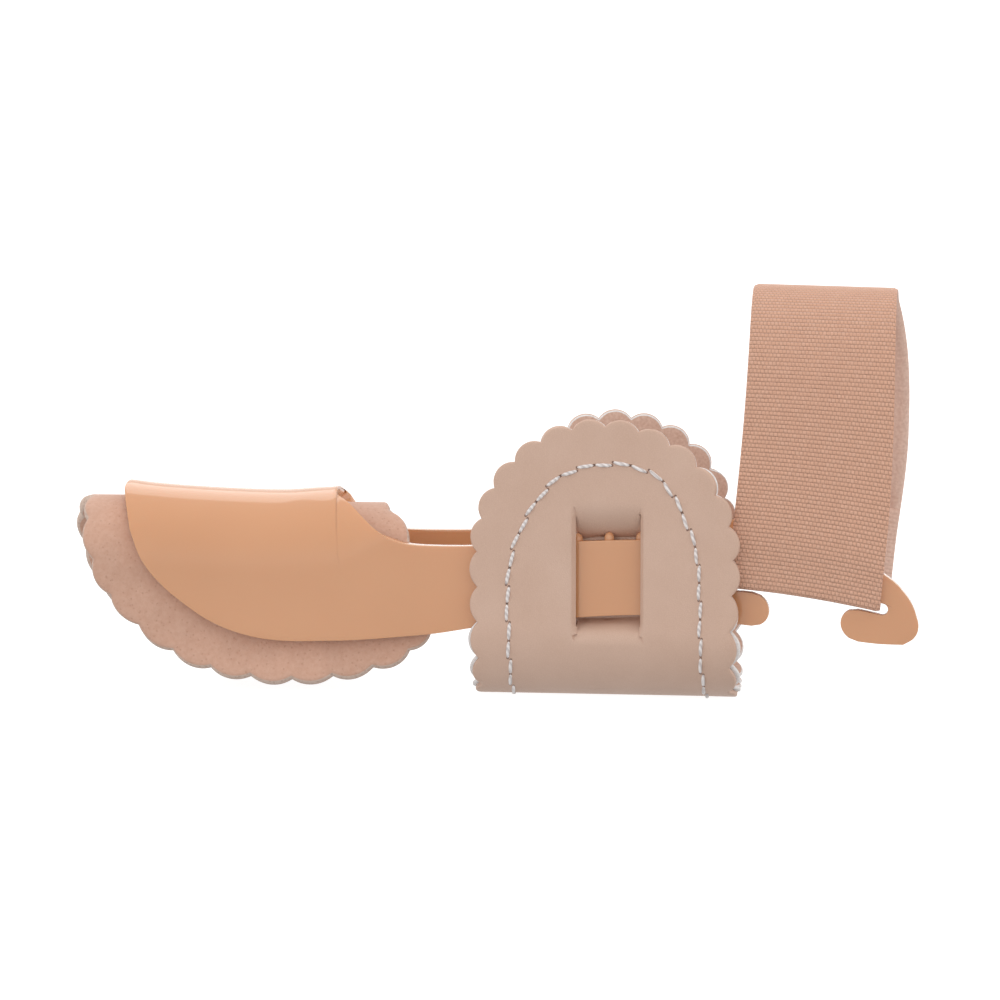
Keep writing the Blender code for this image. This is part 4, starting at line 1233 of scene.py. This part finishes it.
def add_hole(holes, face, flat):
    """Flat dimple that reads as a needle hole, just proud of the leather; its dark colour is painted shade."""
    middle = face(flat.x, flat.y, -COVER_THICKNESS - HOLE_PROUD)
    base = face(flat.x, flat.y, -COVER_THICKNESS)
    up = (face(flat.x, flat.y, -COVER_THICKNESS - 0.1 * MM) - base).normalized()
    side = up.orthogonal().normalized()
    ring = ring_points(holes, middle, side, up.cross(side), HOLE_RADIUS, HOLE_SIDES)
    low = [holes.verts.new(vert.co - up * HOLE_DEPTH) for vert in ring]
    holes.faces.new(ring)
    holes.faces.new(low[::-1])
    join_rings(holes, low, ring)


def build_strap(settings):
    """The ribbed band: ribs on its outer face, looped pile on its inner face and its tucked-in ends."""
    # Colours: the yarn, painted shade for the gaps between the ribs, painted glints on single floats
    elastic = ribbed_elastic("DBAA90", "C99A82", "E0B39B", settings.rib_pitch / MM)
    pile_cloth = napped_cloth("looped_pile", "E8C9B9", "D6B2A0")
    path, total = even_path(smooth_curve(strap_path(), 8, False), settings.rib_pitch / 5.0)
    width = SLOT_LENGTH - 2.0 * STRAP_SIDE_PLAY
    start = SLOT_START_X + STRAP_SIDE_PLAY
    middle = slot_middle(start + width / 2.0)
    mesh = bmesh.new()
    uv_layer = mesh.loops.layers.uv.new("UVMap")
    columns = settings.columns
    rows = len(path)
    sections = []
    for index, point in enumerate(path):
        ahead = path[min(index + 1, rows - 1)] - path[max(index - 1, 0)]
        normal = Vector((-ahead.y, ahead.x)).normalized()
        distance = total * index / (rows - 1)
        rise = min(max(point.y / (STRAP_HEIGHT - middle), 0.0), 1.0)
        rear = smooth_step(point.x, STRAP_REAR_FROM, STRAP_REAR_TO) * (0.5 + 0.5 * smooth_step(rise, 0.1, 0.5))
        narrow = STRAP_TAPER * smooth_step(rise, 0.2, 1.0)
        lean = STRAP_LEAN * math.sin(rise * math.pi / 2.0) + STRAP_REAR_LEAN * rear
        level = smooth_step(rise, 0.0, 1.0)
        ends = smooth_step(min(index, rows - 1 - index), -1.0, 4.0)
        rib = settings.rib_height * abs(math.sin(math.pi * distance / settings.rib_pitch)) ** 0.7
        way = Vector((0.0, normal.x, normal.y))
        outer, inner = [], []
        for column in range(columns + 1):
            share = column / columns
            x = start + (width - narrow) * share
            slant = (slot_middle(x) - middle) * (1.0 - level) - STRAP_TOP_SLANT * share * level
            edge = min(share, 1.0 - share) * width
            round_off = 1.0 - quarter_round(max(1.0 - edge / STRAP_EDGE_ROUND, 0.0))
            half = STRAP_THICKNESS / 2.0 - settings.rib_height
            half = half * (0.35 + 0.65 * round_off) * (0.4 + 0.6 * ends)
            pile = settings.rib_height * (0.5 + noise.noise(Vector((x, distance, 0.3)) / STRAP_PILE_SIZE))
            place = Vector((x + lean, point.x, middle + point.y + slant))
            outer.append(mesh.verts.new(place + way * (half + rib)))
            if column in (0, columns):
                inner.append(outer[-1])
            else:
                inner.append(mesh.verts.new(place - way * (half + pile)))
        sections.append((outer, inner, distance))
    for index in range(rows - 1):
        in_tail = min(sections[index][2], total - sections[index][2]) < STRAP_END_Z - middle
        for face in (0, 1):
            one, two = sections[index][face], sections[index + 1][face]
            for column in range(columns):
                corners = [one[column], one[column + 1], two[column + 1], two[column]]
                places = [(column, index), (column + 1, index), (column + 1, index + 1), (column, index + 1)]
                if face:
                    corners.reverse()
                    places.reverse()
                made = mesh.faces.new(corners)
                made.material_index = 1 if face or in_tail else 0
                for corner, (c, r) in zip(made.loops, places):
                    corner[uv_layer].uv = (width / MM * c / columns / 100.0, sections[r][2] / MM / 100.0)
    for line in (sections[0], sections[-1]):
        outer, inner = line[0], line[1]
        for column in range(columns):
            corners = [outer[column], outer[column + 1], inner[column + 1], inner[column]]
            unique = list(dict.fromkeys(corners))
            if len(unique) >= 3:
                mesh.faces.new(unique)
    bmesh.ops.recalc_face_normals(mesh, faces=list(mesh.faces))
    strap = add_object("ribbed_strap", mesh, [elastic, pile_cloth], 80.0)
    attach(strap, "root")
    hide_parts("elastic_strap")


def build_studio(settings):
    scene = bpy.context.scene
    middle = (Vector(CAD_BOX[0]) + Vector(CAD_BOX[1])) / 2.0
    aim = Vector((ROW_SHIFT.x + settings.aim_shift, 0.0, settings.aim_height))
    azimuth, elevation = settings.azimuth, settings.elevation
    back = Vector((math.sin(azimuth) * math.cos(elevation), -math.cos(azimuth) * math.cos(elevation),
                   math.sin(elevation)))
    data = bpy.data.cameras.new("studio_camera")
    data.lens = settings.lens
    data.sensor_width = 36.0
    data.clip_start = 0.01
    data.clip_end = 50.0
    camera = bpy.data.objects.new("studio_camera", data)
    camera.location = aim + back * settings.distance
    camera.rotation_euler = (-back).to_track_quat("-Z", "Y").to_euler()
    scene.collection.objects.link(camera)
    scene.camera = camera
    floor = bmesh.new()
    bmesh.ops.create_grid(floor, x_segments=2, y_segments=2, size=settings.floor_size / 2.0)
    ground = add_object("studio_floor", floor, [studio_paper("9C9C9C", "989898", settings.floor_glow)])
    ground.visible_diffuse = False
    add_softbox("overhead_softbox", middle + Vector(SOFTBOX_PLACE), middle, SOFTBOX_SIZE, settings.key_power)
    add_sky(scene, settings)
    scene.view_settings.view_transform = "Standard"
    scene.view_settings.look = "None"


def add_sky(scene, settings):
    """Light tent: white walls, a slightly darker top and a shaded surface underneath."""
    world = bpy.data.worlds.new("studio_sky")
    scene.world = world
    world.use_nodes = True
    tree = world.node_tree
    way = add_node(tree, "ShaderNodeTexCoord").outputs["Generated"]
    height = add_node(tree, "ShaderNodeSeparateXYZ", None, None, {"Vector": way}).outputs["Z"]
    walls = stretch(tree, height, -0.02, -0.005, settings.underside, settings.sky)
    top = stretch(tree, height, 0.1, 0.6, 1.0, settings.sky_top)
    light = add_node(tree, "ShaderNodeMath", {"operation": "MULTIPLY"}, None, {0: walls, 1: top})
    shade = tree.nodes["Background"]
    shade.inputs["Color"].default_value = (1.0, 1.0, 1.0, 1.0)
    tree.links.new(light.outputs[0], shade.inputs["Strength"])


def add_softbox(name, place, target, size, power):
    data = bpy.data.lights.new(name, "AREA")
    data.shape = "RECTANGLE"
    data.size, data.size_y = size
    data.energy = power
    lamp = bpy.data.objects.new(name, data)
    lamp.location = place
    lamp.rotation_euler = (target - place).to_track_quat("-Z", "Y").to_euler()
    bpy.context.scene.collection.objects.link(lamp)


class BUNION_OT_frame(bpy.types.Operator):
    """Build the moulded splint and its grip nubs"""
    bl_idname = "bunion.frame"
    bl_label = "Moulded splint"

    def execute(self, context):
        build_frame(context.scene.bunion_frame)
        return {"FINISHED"}


class BUNION_OT_toe_pad(bpy.types.Operator):
    """Build the folded suede pad under the shell"""
    bl_idname = "bunion.toe_pad"
    bl_label = "Toe pad"

    def execute(self, context):
        build_toe_pad(context.scene.bunion_pad)
        return {"FINISHED"}


class BUNION_OT_sling(bpy.types.Operator):
    """Build the leather sling, its lining and its stitching"""
    bl_idname = "bunion.sling"
    bl_label = "Leather sling"

    def execute(self, context):
        build_sling(context.scene.bunion_sling)
        build_stitching(context.scene.bunion_sling)
        return {"FINISHED"}


class BUNION_OT_strap(bpy.types.Operator):
    """Build the ribbed elastic strap"""
    bl_idname = "bunion.strap"
    bl_label = "Elastic strap"

    def execute(self, context):
        build_strap(context.scene.bunion_strap)
        return {"FINISHED"}


class BUNION_OT_studio(bpy.types.Operator):
    """Set the floor, the soft lights and the camera"""
    bl_idname = "bunion.studio"
    bl_label = "Studio"

    def execute(self, context):
        build_studio(context.scene.bunion_studio)
        return {"FINISHED"}


class BUNION_PT_panel(bpy.types.Panel):
    """Lists the steps that build the bunion corrector"""
    bl_idname = "BUNION_PT_panel"
    bl_label = "Bunion Corrector"
    bl_space_type = "VIEW_3D"
    bl_region_type = "UI"
    bl_category = "Bunion Corrector"

    def draw(self, context):
        for step in STEPS:
            self.layout.operator("bunion." + step)


STEPS = ("studio", "frame", "toe_pad", "sling", "strap")
SETTINGS = {
    "bunion_frame": FrameSettings,
    "bunion_pad": PadSettings,
    "bunion_sling": SlingSettings,
    "bunion_strap": StrapSettings,
    "bunion_studio": StudioSettings,
}
CLASSES = (
    *SETTINGS.values(), BUNION_OT_frame, BUNION_OT_toe_pad, BUNION_OT_sling, BUNION_OT_strap, BUNION_OT_studio,
    BUNION_PT_panel,
)


def register():
    for entry in CLASSES:
        bpy.utils.register_class(entry)
    for name, group in SETTINGS.items():
        setattr(bpy.types.Scene, name, bpy.props.PointerProperty(type=group))


def unregister():
    for name in SETTINGS:
        delattr(bpy.types.Scene, name)
    for entry in reversed(CLASSES):
        bpy.utils.unregister_class(entry)


def main():
    register()
    for step in STEPS:
        getattr(bpy.ops.bunion, step)()


if __name__ == "__main__":
    main()
